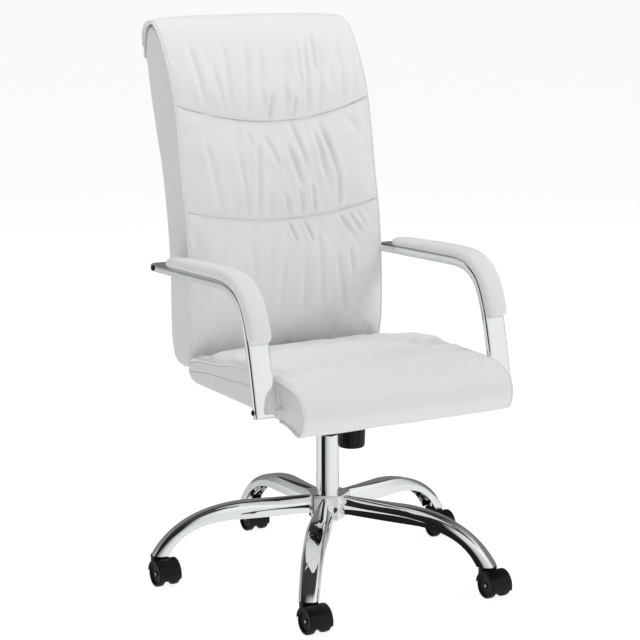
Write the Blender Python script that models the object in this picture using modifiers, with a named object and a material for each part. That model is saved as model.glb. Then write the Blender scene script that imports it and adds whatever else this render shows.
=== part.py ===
"""High-back swivel chair on a five-leg base: gas lift, tilt mechanism, padded seat and back,
and two tube arms that join the seat to the back.

Metres, +Z up, the chair faces -Y.  The origin is on the floor under the middle of the chair's
outline.  The gas lift stands COLUMN_Y from it, and every other place below is counted from the
gas lift's axis.
"""
import math

import bmesh
import bpy
from mathutils import Matrix, Vector

# Whole chair
COLUMN_Y = -0.029
GAP = 0.0003                      # running or resting gap left between two pieces

# Base
LEG_ANGLES = (234, 306, 18, 90, 162)
LEG_NAMES = ("front_right", "front_left", "left", "rear", "right")
STEM_CIRCLE = 0.3708
HUB_CORNER = 0.051
HUB_BOTTOM = 0.128
HUB_TOP = 0.181
LEG_HUB_WIDTH = 0.034
LEG_MIDDLE_WIDTH = 0.050
LEG_TIP_WIDTH = 0.043
LEG_MIDDLE = 0.20
LEG_ROOT = 0.030                  # the leg starts inside the hub's wall
LEG_ROOT_TOP = 0.176
LEG_ROOT_UNDERSIDE = 0.139
LEG_TIP_Z = 0.062
LEG_WALL = 0.0025
LEG_EDGE = 0.009                  # rounding of its two upper edges

# Casters
WHEEL_RADIUS = 0.0272
WHEEL_WIDTH = 0.016
WHEEL_FACETS = 20
WHEEL_OFFSET = 0.0175             # middle of a wheel from the middle of its caster
TRAIL = 0.025                     # axle ahead of the stem
STEM_RADIUS = 0.0055
STEM_BOTTOM = 0.036
STEM_TOP = 0.080
COLLAR_RADIUS = 0.020
COLLAR_TOP = 0.0612
COLLAR_THICKNESS = 0.0038
NECK_RADIUS = 0.0195              # the body under the collar, cut away round the wheels
HOOD_WIDTH = 0.052
HOOD_CLEARANCE = 0.0012
HOOD_WALL = 0.0026
AXLE_RADIUS = 0.003

# Gas lift
COLUMN_RADIUS = 0.025
COLUMN_FOOT_RADIUS = 0.0236
COLUMN_BOTTOM = 0.115
COLUMN_TAPER_TOP = 0.190
COLUMN_TOP = 0.311
COLUMN_WALL = 0.002
CYLINDER_RADIUS = 0.014
CYLINDER_BOTTOM = 0.190
CYLINDER_TOP = 0.381
ROD_RADIUS = 0.005
PIN_RADIUS = 0.0035

# Tilt mechanism
TILT_Y = -0.060
TILT_Z = 0.380
CHASSIS_HALF = 0.045
CHASSIS_BOTTOM = 0.360
CHASSIS_WALL = 0.0025
PLATE_BOTTOM = 0.4167
PLATE_THICKNESS = 0.003
TENSION_Y = -0.100
KNOB_RADIUS = 0.030
KNOB_BOTTOM = 0.305
KNOB_TOP = 0.3485
LEVER_Z = 0.3887
LEVER_X = -0.0465
LEVER_DROP_Z = 0.381
LEVER_ROD_RADIUS = 0.003

# Upholstery and its boards
SEAT_HALF = 0.250
BOARD_HALF = 0.225
BOARD_BOTTOM = 0.420
BOARD_THICKNESS = 0.012
BACK_HALF = 0.244
PANEL_HALF = 0.226
BRACKET_HALF = 0.060
BRACKET_THICKNESS = 0.004

# Arms
ARM_X = 0.284
ARM_WIDTH = 0.050
ARM_THICKNESS = 0.019
ARM_WALL = 0.0015
ARM_CORNER = 0.009
PAD_WIDTH = 0.052
PAD_THICKNESS = 0.019
BOLT_RADIUS = 0.003
BOLT_HEAD_RADIUS = 0.0065
BOLT_HEAD_HEIGHT = 0.0045
BOLT_END_X = 0.206                # where a bolt ends inside the board's rail
REAR_BOLT = (0.219, 0.6688)
FRONT_BOLT = (-0.2385, 0.4465)

SIDE_VIEW = Matrix(((0, 0, 1), (1, 0, 0), (0, 1, 0))).to_4x4()   # local x, y, z to Y, Z, X
FRONT_VIEW = Matrix(((1, 0, 0), (0, 0, -1), (0, 1, 0))).to_4x4()  # local x, y, z to X, Z, -Y

for old in list(bpy.data.objects):
    bpy.data.objects.remove(old, do_unlink=True)

chair = bpy.data.collections.new("swivel_chair")
cutters = bpy.data.collections.new("cutters")
bpy.context.scene.collection.children.link(chair)
bpy.context.scene.collection.children.link(cutters)


def finish_material(name, colour, roughness, metallic):
    material = bpy.data.materials.new(name)
    material.use_nodes = True
    shader = material.node_tree.nodes["Principled BSDF"]
    shader.inputs["Base Color"].default_value = (*colour, 1.0)
    shader.inputs["Roughness"].default_value = roughness
    shader.inputs["Metallic"].default_value = metallic
    return material


CHROME = finish_material("chrome", (0.86, 0.87, 0.88), 0.06, 1.0)
STEEL = finish_material("zinc_plated_steel", (0.62, 0.63, 0.64), 0.35, 1.0)
BLACK_STEEL = finish_material("black_painted_steel", (0.02, 0.02, 0.02), 0.45, 0.0)
BLACK_PLASTIC = finish_material("black_plastic", (0.015, 0.015, 0.016), 0.35, 0.0)
TREAD = finish_material("black_nylon_tread", (0.02, 0.02, 0.02), 0.5, 0.0)
WHITE_PLASTIC = finish_material("pale_plastic", (0.75, 0.75, 0.75), 0.4, 0.0)
LEATHER = finish_material("white_leather", (0.87, 0.87, 0.87), 0.45, 0.0)
PLYWOOD = finish_material("plywood", (0.62, 0.46, 0.30), 0.7, 0.0)


def add_empty(name, location, parent=None):
    empty = bpy.data.objects.new(name, None)
    empty.location = location
    empty.parent = parent
    empty.empty_display_size = 0.02
    chair.objects.link(empty)
    return empty


def add_piece(name, mesh, material, parent, location=(0, 0, 0)):
    mesh.materials.clear()
    mesh.materials.append(material)
    piece = bpy.data.objects.new(name, mesh)
    piece.location = location
    piece.parent = parent
    chair.objects.link(piece)
    return piece


def cut(piece, mesh, parent, location=(0, 0, 0), operation="DIFFERENCE"):
    """Cut a mesh out of a piece, or join it on with operation UNION."""
    tool = bpy.data.objects.new(f"{piece.name}_tool", mesh)
    tool.location = location
    tool.parent = parent
    tool.hide_render = True
    tool.display_type = "WIRE"
    cutters.objects.link(tool)
    boolean = piece.modifiers.new("Boolean", "BOOLEAN")
    boolean.operation = operation
    boolean.solver = "EXACT"
    boolean.object = tool


def mesh_from(shape, smooth_angle=40):
    """Turn a finished bmesh into a mesh with smooth faces and sharp edges past an angle."""
    mesh = bpy.data.meshes.new("shape")
    shape.to_mesh(mesh)
    shape.free()
    mesh.shade_smooth()
    mesh.set_sharp_from_angle(angle=math.radians(smooth_angle))
    return mesh


def evaluated_mesh(guide, matrix, closed=True, flat_ends=False):
    """The mesh of a curve or of an object with modifiers, with its loose caps welded."""
    chair.objects.link(guide)
    bpy.context.view_layer.update()
    ready = guide.evaluated_get(bpy.context.evaluated_depsgraph_get())
    mesh = bpy.data.meshes.new_from_object(ready)
    bpy.data.objects.remove(guide, do_unlink=True)
    shape = bmesh.new()
    shape.from_mesh(mesh)
    bmesh.ops.remove_doubles(shape, verts=shape.verts, dist=0.00002)
    bmesh.ops.transform(shape, matrix=matrix, verts=shape.verts)
    if flat_ends:
        bmesh.ops.dissolve_limit(shape, angle_limit=0.002, verts=shape.verts, edges=shape.edges)
    if closed:
        bmesh.ops.recalc_face_normals(shape, faces=shape.faces)
    return mesh_from(shape)


def box(low, high, bevel=0.0):
    shape = bmesh.new()
    bmesh.ops.create_cube(shape, size=1.0)
    size = Vector(high) - Vector(low)
    middle = (Vector(high) + Vector(low)) / 2
    bmesh.ops.scale(shape, vec=size, verts=shape.verts)
    if bevel:
        bmesh.ops.bevel(shape, geom=shape.edges, offset=bevel, segments=2, profile=0.5,
                        affect="EDGES")
    bmesh.ops.translate(shape, vec=middle, verts=shape.verts)
    return mesh_from(shape)


def cylinder(start, end, radius, end_radius=None, segments=20):
    """A round bar or a cone from one point to another."""
    start, end = Vector(start), Vector(end)
    along = end - start
    shape = bmesh.new()
    bmesh.ops.create_cone(shape, cap_ends=True, segments=segments, radius1=radius,
                          radius2=radius if end_radius is None else end_radius,
                          depth=along.length)
    turn = along.to_track_quat("Z", "Y").to_matrix().to_4x4()
    bmesh.ops.transform(shape, matrix=Matrix.Translation((start + end) / 2) @ turn,
                        verts=shape.verts)
    return mesh_from(shape)


def turned(profile, segments=24, closed=False, matrix=None):
    """Turn a profile of (radius, height) about Z; it runs down its outer side."""
    lines = bmesh.new()
    points = [lines.verts.new((radius, 0, height)) for radius, height in profile]
    for first, second in zip(points, points[1:]):
        lines.edges.new((first, second))
    if closed:
        lines.edges.new((points[-1], points[0]))
    mesh = bpy.data.meshes.new("profile")
    lines.to_mesh(mesh)
    lines.free()
    guide = bpy.data.objects.new("profile", mesh)
    screw = guide.modifiers.new("Screw", "SCREW")
    screw.steps = screw.render_steps = segments
    screw.use_merge_vertices = True
    screw.merge_threshold = 0.00002
    return evaluated_mesh(guide, matrix or Matrix.Identity(4))


def flat_solid(outline, thickness, matrix):
    """A flat outline with an even thickness about its plane, turned to its place."""
    curve = bpy.data.curves.new("outline", "CURVE")
    curve.dimensions = "2D"
    curve.fill_mode = "BOTH"
    curve.extrude = thickness / 2
    spline = curve.splines.new("POLY")
    spline.points.add(len(outline) - 1)
    for point, (x, y) in zip(spline.points, outline):
        point.co = (x, y, 0, 1)
    spline.use_cyclic_u = True
    return evaluated_mesh(bpy.data.objects.new("outline", curve), matrix, flat_ends=True)


def rod(points, radius, resolution=2, matrix=None):
    """A round wire or rod along a line of points."""
    curve = bpy.data.curves.new("rod", "CURVE")
    curve.dimensions = "3D"
    curve.bevel_depth = radius
    curve.bevel_resolution = resolution
    curve.use_fill_caps = True
    spline = curve.splines.new("POLY")
    spline.points.add(len(points) - 1)
    for point, place in zip(spline.points, points):
        point.co = (*place, 1)
    return evaluated_mesh(bpy.data.objects.new("rod", curve), matrix or Matrix.Identity(4))


def bend(start, toward_start, toward_end, end, steps):
    """Points of a smooth bend from start to end, pulled towards two handles."""
    corners = [Vector(point) for point in (start, toward_start, toward_end, end)]
    weights = (1, 3, 3, 1)
    points = []
    for step in range(steps + 1):
        t = step / steps
        terms = [weight * (1 - t) ** (3 - power) * t ** power
                 for power, weight in enumerate(weights)]
        points.append(sum((term * corner for term, corner in zip(terms, corners)),
                          Vector((0, 0))))
    return points


def offset_line(points, distance):
    """Points moved sideways from a line, to its left as it runs."""
    moved = []
    for index, point in enumerate(points):
        before = points[max(index - 1, 0)]
        after = points[min(index + 1, len(points) - 1)]
        along = (after - before).normalized()
        moved.append(point + distance * Vector((-along.y, along.x)))
    return moved


def soften(piece, width, segments=2, angle=50):
    bevel = piece.modifiers.new("Bevel", "BEVEL")
    bevel.width = width
    bevel.segments = segments
    bevel.limit_method = "ANGLE"
    bevel.angle_limit = math.radians(angle)
    bevel.use_clamp_overlap = True


# ---------------------------------------------------------------- base
column = add_empty("column_axis", (0, COLUMN_Y, 0))


def leg_width(reach):
    """The leg's width at a distance from the column, narrow at the hub and fullest halfway."""
    if reach < LEG_MIDDLE:
        share = max(0.0, (reach - 0.04) / (LEG_MIDDLE - 0.04))
        return LEG_HUB_WIDTH + (LEG_MIDDLE_WIDTH - LEG_HUB_WIDTH) * math.sin(share * math.pi / 2)
    share = (reach - LEG_MIDDLE) / (STEM_CIRCLE + 0.017 - LEG_MIDDLE)
    return LEG_MIDDLE_WIDTH + (LEG_TIP_WIDTH - LEG_MIDDLE_WIDTH) * share


def leg_top():
    return bend((0.19, 0.170), (0.283, 0.163), (0.349, 0.127), (0.388, LEG_TIP_Z), 6)


def leg_underside():
    return bend((0.206, 0.136), (0.279, 0.1347), (0.328, 0.110), (0.3535, LEG_TIP_Z), 5)


def leg_mesh(angle):
    """One arched leg lying along its angle, with its top edges rounded."""
    outline = [Vector((LEG_ROOT, LEG_ROOT_UNDERSIDE))] + leg_underside() + leg_top()[::-1]
    outline.append(Vector((LEG_ROOT, LEG_ROOT_TOP)))
    shape = bmesh.new()
    shape.from_mesh(flat_solid(outline, 2.0, FRONT_VIEW))
    for vert in shape.verts:
        vert.co.y *= leg_width(vert.co.x) / 2
    top_z = [(point.x, point.y) for point in leg_top()] + [(LEG_ROOT, LEG_ROOT_TOP)]
    on_top = {vert for vert in shape.verts
              if any(abs(vert.co.x - x) < 1e-4 and abs(vert.co.z - z) < 1e-4 for x, z in top_z)}
    long_edges = [edge for edge in shape.edges
                  if edge.verts[0] in on_top and edge.verts[1] in on_top
                  and edge.verts[0].co.y * edge.verts[1].co.y > 0]
    bmesh.ops.bevel(shape, geom=long_edges, offset=LEG_EDGE, segments=2, profile=0.5,
                    affect="EDGES")
    bmesh.ops.rotate(shape, matrix=Matrix.Rotation(math.radians(angle), 3, "Z"),
                     verts=shape.verts)
    return mesh_from(shape)


def leg_hollow(angle):
    """The space under one leg, between its two side walls."""
    roof = [point - Vector((0.002, LEG_WALL + 0.001)) for point in leg_top() if point.x < 0.345]
    floor = [Vector((0.356, 0.060)), Vector((0.30, 0.05)), Vector((0.062, 0.10))]
    outline = floor + [Vector((0.062, 0.171))] + roof
    inner = bmesh.new()
    inner.from_mesh(flat_solid(outline, 2.0, FRONT_VIEW))
    for vert in inner.verts:
        vert.co.y *= leg_width(vert.co.x) / 2 - LEG_WALL
    bmesh.ops.recalc_face_normals(inner, faces=inner.faces)
    bmesh.ops.rotate(inner, matrix=Matrix.Rotation(math.radians(angle), 3, "Z"),
                     verts=inner.verts)
    return mesh_from(inner)


def column_radius(height):
    """The column tube's outer radius, which tapers where the hub grips it."""
    share = min(1.0, (height - COLUMN_BOTTOM) / (COLUMN_TAPER_TOP - COLUMN_BOTTOM))
    return COLUMN_FOOT_RADIUS + (COLUMN_RADIUS - COLUMN_FOOT_RADIUS) * share


def make_base():
    hub = cylinder((0, 0, HUB_BOTTOM), (0, 0, HUB_TOP), HUB_CORNER, segments=5)
    shape = bmesh.new()
    shape.from_mesh(hub)
    bmesh.ops.rotate(shape, matrix=Matrix.Rotation(math.radians(-36), 3, "Z"),
                     verts=shape.verts)
    base = add_piece("base_star", mesh_from(shape), CHROME, column)
    soften(base, 0.004, 1)
    for angle in LEG_ANGLES:
        cut(base, leg_mesh(angle), column, operation="UNION")
    for angle in LEG_ANGLES:
        cut(base, leg_hollow(angle), column)
        socket = cylinder((STEM_CIRCLE, 0, 0.05), (STEM_CIRCLE, 0, STEM_TOP + GAP),
                          STEM_RADIUS + GAP, segments=12)
        socket.transform(Matrix.Rotation(math.radians(angle), 4, "Z"))
        cut(base, socket, column)
    low, high = HUB_BOTTOM - 0.01, HUB_TOP + 0.01
    cut(base, cylinder((0, 0, low), (0, 0, high), column_radius(low) + GAP,
                       column_radius(high) + GAP, segments=24), column)


def arc_points(radius, first, last, step):
    """Points on a circle about the caster's axle, seen from its side."""
    return [(radius * math.cos(math.radians(degrees)) - TRAIL,
             radius * math.sin(math.radians(degrees)) + WHEEL_RADIUS)
            for degrees in range(first, last + 1, step)]


def housing_mesh():
    """A web between the wheels, a hood over them, a neck and a collar round the stem."""
    web_half = WHEEL_OFFSET - WHEEL_WIDTH / 2 - 0.0015
    hood_inner = WHEEL_RADIUS + HOOD_CLEARANCE
    first, last, step = 5, 195, 19
    web = arc_points(hood_inner + 0.0008, first, last, step) + arc_points(0.020, 215, 345, 26)
    housing = bpy.data.objects.new("housing", flat_solid(web, 2 * web_half, SIDE_VIEW))
    hood = arc_points(hood_inner + HOOD_WALL, first, last, step)
    hood += arc_points(hood_inner, first, last, step)[::-1]
    cut(housing, flat_solid(hood, HOOD_WIDTH, SIDE_VIEW), None, operation="UNION")
    collar_floor = COLLAR_TOP - COLLAR_THICKNESS
    boss = [(0, COLLAR_TOP), (COLLAR_RADIUS, COLLAR_TOP), (COLLAR_RADIUS, collar_floor),
            (NECK_RADIUS, collar_floor), (NECK_RADIUS, STEM_BOTTOM), (0.0075, STEM_BOTTOM),
            (0.0075, 0.030), (0, 0.030)]
    cut(housing, turned(boss, 24), None, operation="UNION")
    wheel_space = WHEEL_RADIUS / math.cos(math.pi / WHEEL_FACETS) + 0.0004
    for sign in (-1, 1):
        cut(housing, cylinder((sign * web_half, -TRAIL, WHEEL_RADIUS),
                              (sign * 0.030, -TRAIL, WHEEL_RADIUS), wheel_space, segments=40),
            None)
    stem_hole = cylinder((0, 0, STEM_BOTTOM - GAP), (0, 0, 0.07), STEM_RADIUS + GAP, segments=12)
    cut(housing, stem_hole, None)
    axle_hole = cylinder((-0.02, -TRAIL, WHEEL_RADIUS), (0.02, -TRAIL, WHEEL_RADIUS),
                         AXLE_RADIUS + GAP, segments=12)
    cut(housing, axle_hole, None)
    tools = [modifier.object for modifier in housing.modifiers]
    mesh = evaluated_mesh(housing, Matrix.Identity(4), closed=False)
    for tool in tools:
        bpy.data.objects.remove(tool, do_unlink=True)
    return mesh


def make_caster(name, angle, housing):
    """A caster under one leg tip; its wheels lie ahead of the stem at rest."""
    turn = math.radians(angle)
    stem_axis = add_empty(f"{name}_stem_axis",
                          (STEM_CIRCLE * math.cos(turn), STEM_CIRCLE * math.sin(turn), 0), column)
    stem_profile = [(0, STEM_TOP), (STEM_RADIUS - 0.001, STEM_TOP), (STEM_RADIUS, STEM_TOP - 0.002),
                    (STEM_RADIUS, STEM_BOTTOM), (0, STEM_BOTTOM)]
    add_piece(f"caster_stem_{name}", turned(stem_profile, 12), STEEL, stem_axis)

    add_piece(f"caster_housing_{name}", housing, BLACK_PLASTIC, stem_axis)
    axle = (0, -TRAIL, WHEEL_RADIUS)
    axle_half = WHEEL_OFFSET + WHEEL_WIDTH / 2 - 0.003
    axle_empty = add_empty(f"{name}_axle_axis", axle, stem_axis)
    add_piece(f"caster_axle_{name}", cylinder((-axle_half, 0, 0), (axle_half, 0, 0), AXLE_RADIUS,
                                              segments=12), STEEL, axle_empty)
    half, bore = WHEEL_WIDTH / 2, AXLE_RADIUS + GAP
    rim = WHEEL_RADIUS / math.cos(math.pi / WHEEL_FACETS)   # the flats lie on the wheel's radius
    wheel_profile = [(0, half), (rim - 0.003, half), (rim, half - 0.003), (rim, 0.003 - half),
                     (rim - 0.003, -half), (bore, -half), (bore, half - 0.0025),
                     (0, half - 0.0025)]
    for side, sign in (("left", 1), ("right", -1)):
        to_axle = Matrix.Rotation(math.radians(90 * sign), 4, "Y")
        half_facet = Matrix.Rotation(math.pi / WHEEL_FACETS, 4, "Z")
        wheel = turned(wheel_profile, WHEEL_FACETS, matrix=to_axle @ half_facet)
        add_piece(f"caster_wheel_{name}_{side}", wheel, TREAD, axle_empty,
                  (sign * WHEEL_OFFSET, 0, 0))


# ---------------------------------------------------------------- gas lift
def make_gas_lift():
    inside = COLUMN_RADIUS - COLUMN_WALL
    tube = [(COLUMN_RADIUS, COLUMN_TOP), (COLUMN_RADIUS, COLUMN_TAPER_TOP),
            (COLUMN_FOOT_RADIUS, COLUMN_BOTTOM), (0.0065, COLUMN_BOTTOM),
            (0.0065, COLUMN_BOTTOM + 0.004), (COLUMN_FOOT_RADIUS - COLUMN_WALL,
                                              COLUMN_BOTTOM + 0.004),
            (inside, COLUMN_TAPER_TOP), (inside, COLUMN_TOP)]
    add_piece("column_tube", turned(tube, 24, closed=True), CHROME, column)

    bush_out, bush_in = inside - GAP, CYLINDER_RADIUS + GAP
    bush = [(COLUMN_RADIUS - 0.0008, COLUMN_TOP + 0.0025), (COLUMN_RADIUS - 0.0003,
                                                            COLUMN_TOP + GAP),
            (bush_out, COLUMN_TOP + GAP), (bush_out, 0.236), (bush_in, 0.236),
            (bush_in, COLUMN_TOP + 0.0025)]
    add_piece("guide_bush", turned(bush, 24, closed=True), BLACK_PLASTIC, column)

    bearing_bottom = COLUMN_BOTTOM + 0.004 + GAP
    bearing_top = bearing_bottom + 0.007
    bearing = [(0.0155, bearing_top), (0.0155, bearing_bottom), (0.0065, bearing_bottom),
               (0.0065, bearing_top)]
    add_piece("thrust_bearing", turned(bearing, 20, closed=True), STEEL, column)

    swivel = add_empty("column_swivel_axis", (0, 0, 0), column)
    groove_low, groove_high = 0.1112, 0.1147
    rod_profile = [(0, 0.297), (0.0122, 0.297), (0.0122, 0.285), (ROD_RADIUS, 0.285),
                   (ROD_RADIUS, 0.131), (0.009, 0.131), (0.009, bearing_top + GAP),
                   (ROD_RADIUS, bearing_top + GAP), (ROD_RADIUS, groove_high),
                   (ROD_RADIUS - 0.001, groove_high), (ROD_RADIUS - 0.001, groove_low),
                   (ROD_RADIUS, groove_low), (ROD_RADIUS, 0.107), (0, 0.107)]
    add_piece("piston_rod", turned(rod_profile, 16), STEEL, swivel)
    clip = [(0.0095, groove_high - GAP), (0.0095, groove_low + GAP),
            (ROD_RADIUS - 0.001 + GAP, groove_low + GAP),
            (ROD_RADIUS - 0.001 + GAP, groove_high - GAP)]
    add_piece("retaining_clip", turned(clip, 16, closed=True), STEEL, swivel)

    lift = add_empty("lift_axis", (0, 0, 0), swivel)
    neck = CYLINDER_RADIUS - 0.0008
    cylinder_profile = [(neck, CYLINDER_TOP), (CYLINDER_RADIUS, 0.350),
                        (CYLINDER_RADIUS, CYLINDER_BOTTOM), (ROD_RADIUS + GAP, CYLINDER_BOTTOM),
                        (ROD_RADIUS + GAP, 0.196), (0.0125, 0.196), (0.0125, 0.370),
                        (PIN_RADIUS + GAP, 0.370), (PIN_RADIUS + GAP, CYLINDER_TOP)]
    add_piece("gas_cylinder", turned(cylinder_profile, 24, closed=True), BLACK_STEEL, lift)
    pin_top = LEVER_Z - LEVER_ROD_RADIUS - 0.0005
    pin = [(0, pin_top), (PIN_RADIUS, pin_top), (PIN_RADIUS, 0.3697), (0.006, 0.3697),
           (0.006, 0.3667), (0, 0.3667)]
    add_piece("release_pin", turned(pin, 16), STEEL, add_empty("release_pin_axis", (0, 0, 0), lift))
    return lift


# ---------------------------------------------------------------- tilt mechanism
def make_mechanism(lift):
    side = [(-0.135, 0.372), (-0.120, CHASSIS_BOTTOM), (0.032, CHASSIS_BOTTOM), (0.055, 0.372),
            (0.055, 0.388), (-0.020, 0.403), (-0.135, 0.403)]
    chassis = add_piece("tilt_chassis", flat_solid(side, 2 * CHASSIS_HALF, SIDE_VIEW),
                        BLACK_STEEL, lift)
    floor = CHASSIS_BOTTOM + CHASSIS_WALL
    inside = [(-0.1325, 0.3735), (-0.119, floor), (0.031, floor), (0.0525, 0.3735),
              (0.0525, 0.42), (-0.1325, 0.42)]
    cut(chassis, flat_solid(inside, 2 * (CHASSIS_HALF - CHASSIS_WALL), SIDE_VIEW), lift)
    cut(chassis, cylinder((0, 0, 0.350), (0, 0, 0.3825), 0.022), lift, operation="UNION")
    neck = CYLINDER_RADIUS - 0.0008
    cut(chassis, cylinder((0, 0, 0.340), (0, 0, 0.3505), CYLINDER_RADIUS + GAP, segments=24), lift)
    cut(chassis, cylinder((0, 0, 0.350), (0, 0, 0.3850), CYLINDER_RADIUS + GAP, neck + GAP,
                          segments=24), lift)
    shaft_hole = 0.006 + GAP
    cut(chassis, cylinder((-0.06, TILT_Y, TILT_Z), (0.06, TILT_Y, TILT_Z), shaft_hole,
                          segments=16), lift)
    cut(chassis, cylinder((0, TENSION_Y, 0.35), (0, TENSION_Y, 0.37), 0.0048, segments=16), lift)
    cut(chassis, cylinder((-0.05, 0, LEVER_Z), (-0.04, 0, LEVER_Z), 0.0058, segments=16), lift)

    along_x = Matrix.Rotation(math.radians(90), 4, "Y")
    ends = 0.0545
    shaft = [(0, ends), (0.009, ends), (0.009, 0.051), (0.006, 0.051), (0.006, -0.051),
             (0.009, -0.051), (0.009, -ends), (0, -ends)]
    add_piece("tilt_shaft", turned(shaft, 16, matrix=along_x), STEEL, lift, (0, TILT_Y, TILT_Z))

    tilt = add_empty("tilt_axis", (0, TILT_Y, TILT_Z), lift)
    back = (0, -TILT_Y, -TILT_Z)
    upper = add_empty("upper_frame", back, tilt)
    plate_top = PLATE_BOTTOM + PLATE_THICKNESS
    plate = add_piece("top_plate", box((-0.085, -0.125, PLATE_BOTTOM), (0.085, 0.100, plate_top)),
                      BLACK_STEEL, upper)
    for sign in (-1, 1):
        near, far = sorted((sign * 0.0475, sign * 0.0505))
        ear = box((near, -0.085, 0.369), (far, -0.035, PLATE_BOTTOM + 0.001))
        cut(plate, ear, upper, operation="UNION")
        near, far = sorted((sign * 0.017, sign * 0.020))
        cut(plate, box((near, -0.115, 0.4045), (far, -0.085, PLATE_BOTTOM + 0.001)), upper,
            operation="UNION")
    cut(plate, box((-0.0195, -0.115, 0.4045), (0.0195, -0.085, 0.4078)), upper, operation="UNION")
    cut(plate, box((-0.0046, -0.1125, 0.39), (0.0046, -0.0945, 0.4125)), upper)
    cut(plate, cylinder((-0.06, TILT_Y, TILT_Z), (0.06, TILT_Y, TILT_Z), shaft_hole,
                        segments=16), upper)

    # The tension bolt hangs in the top plate's bridge and carries the knob under the chassis
    travel = add_empty("tension_axis", (0, TENSION_Y, 0), lift)
    bolt = [(0, 0.4125), (0.006, 0.4125), (0.008, 0.4105), (0.008, 0.4085), (0.004, 0.4085),
            (0.004, 0.309), (0, 0.309)]
    add_piece("tension_bolt", turned(bolt, 16), STEEL, travel)
    knob_inside = KNOB_RADIUS - 0.004
    floor = KNOB_BOTTOM + 0.0075
    knob = [(0, 0.309 - GAP), (0.004 + GAP, 0.309 - GAP), (0.004 + GAP, floor),
            (knob_inside - 0.001, floor), (knob_inside, KNOB_TOP), (KNOB_RADIUS, KNOB_TOP),
            (KNOB_RADIUS, KNOB_TOP - 0.022), (KNOB_RADIUS - 0.0018, KNOB_BOTTOM + 0.003),
            (KNOB_RADIUS - 0.004, KNOB_BOTTOM + 0.001), (0.012, KNOB_BOTTOM), (0, KNOB_BOTTOM)]
    knob_axis = add_empty("tension_knob_axis", (0, 0, 0), travel)
    add_piece("tension_knob", turned(knob, 24), BLACK_PLASTIC, knob_axis)

    wire, coil = 0.0022, 0.013
    turns, steps = 4, 10
    low, high = floor + wire + GAP, CHASSIS_BOTTOM - wire - GAP
    count = turns * steps
    spiral = [(coil * math.cos(math.tau * step / steps), coil * math.sin(math.tau * step / steps),
               low + (high - low) * step / count) for step in range(count + 1)]
    add_piece("tension_spring", rod(spiral, wire, 1), STEEL, travel)

    # The lever: a bush in the chassis wall, a cranked rod through it, and a flat handle
    lever_axis = add_empty("lever_axis", (LEVER_X, 0, LEVER_Z), lift)
    bore = LEVER_ROD_RADIUS + GAP
    bush = [(0.0072, 0.001), (0.0072, -0.0005), (0.0052, -0.0005), (0.0052, -0.0065),
            (bore, -0.0065), (bore, 0.001)]
    to_minus_x = Matrix.Rotation(math.radians(-90), 4, "Y")
    add_piece("lever_bush", turned(bush, 16, closed=True, matrix=to_minus_x), BLACK_PLASTIC,
              lever_axis)
    drop = LEVER_DROP_Z - LEVER_Z
    crank = [(0.0565, 0, 0), (-0.020, 0, 0), (-0.026, 0, -0.001), (-0.042, 0, drop + 0.001),
             (-0.048, 0, drop), (-0.103, 0, drop)]
    add_piece("lever_rod", rod(crank, LEVER_ROD_RADIUS, 3), STEEL, lever_axis)
    handle = add_piece("lever_handle", box((-0.1185, -0.012, drop - 0.005),
                                           (-0.0685, 0.012, drop + 0.005), 0.003),
                       BLACK_PLASTIC, lever_axis)
    cut(handle, cylinder((-0.103 - GAP, 0, drop), (-0.06, 0, drop), bore, segments=16), lever_axis)
    return upper


# ---------------------------------------------------------------- seat
SEAT_SIDE = [(0.186, 0.432), (0.150, 0.418), (-0.108, 0.415), (-0.248, 0.411), (-0.300, 0.402),
             (-0.320, 0.409), (-0.333, 0.430), (-0.334, 0.450), (-0.322, 0.471), (-0.280, 0.490),
             (-0.227, 0.507), (-0.100, 0.513), (0.030, 0.505), (0.166, 0.484)]


def make_seat(upper):
    top = BOARD_BOTTOM + BOARD_THICKNESS
    board = add_piece("seat_board", box((-BOARD_HALF, -0.270, BOARD_BOTTOM),
                                        (BOARD_HALF, 0.150, top)), PLYWOOD, upper)
    cushion = add_piece("seat_cushion", flat_solid(SEAT_SIDE, 2 * SEAT_HALF, SIDE_VIEW),
                        LEATHER, upper)
    soften(cushion, 0.012)
    cut(cushion, box((-BOARD_HALF - GAP, -0.270 - GAP, 0.38),
                     (BOARD_HALF + GAP, 0.150 + GAP, top + GAP)), upper)
    cut(cushion, box((-BRACKET_HALF - GAP, 0.13, 0.38), (BRACKET_HALF + GAP, 0.23, BOARD_BOTTOM)),
        upper)
    for sign in (-1, 1):
        near, far = sorted((sign * 0.205, sign * BOARD_HALF))
        rail = box((near, -0.262, top - 0.001), (far, -0.215, 0.462))
        cut(board, rail, upper, operation="UNION")
        pocket = box((near - GAP, -0.262 - GAP, top - 0.001), (far + GAP, -0.215 + GAP,
                                                              0.462 + GAP))
        cut(cushion, pocket, upper)
        hole = cylinder((sign * 0.200, *FRONT_BOLT), (sign * 0.260, *FRONT_BOLT),
                        BOLT_RADIUS + GAP, segments=12)
        cut(board, hole, upper)
        cut(cushion, hole.copy(), upper)


# ---------------------------------------------------------------- back
BACK_FRONT = [(0.203, 0.443), (0.181, 0.478), (0.172, 0.555), (0.174, 0.630), (0.186, 0.764),
              (0.205, 0.855), (0.232, 1.004), (0.281, 1.126), (0.317, 1.178)]
BACK_CROWN = [(0.340, 1.196), (0.370, 1.200), (0.398, 1.184), (0.407, 1.157)]
BACK_REAR = [(0.392, 1.090), (0.357, 0.972), (0.321, 0.861), (0.299, 0.750), (0.289, 0.640),
             (0.291, 0.520), (0.284, 0.472), (0.262, 0.446), (0.230, 0.440)]
BOARD_FRONT = [(0.262, 0.470), (0.262, 0.640), (0.275, 0.750), (0.300, 0.870), (0.335, 0.980),
               (0.372, 1.090)]
BACK_BOARD_THICKNESS = 0.010


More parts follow.
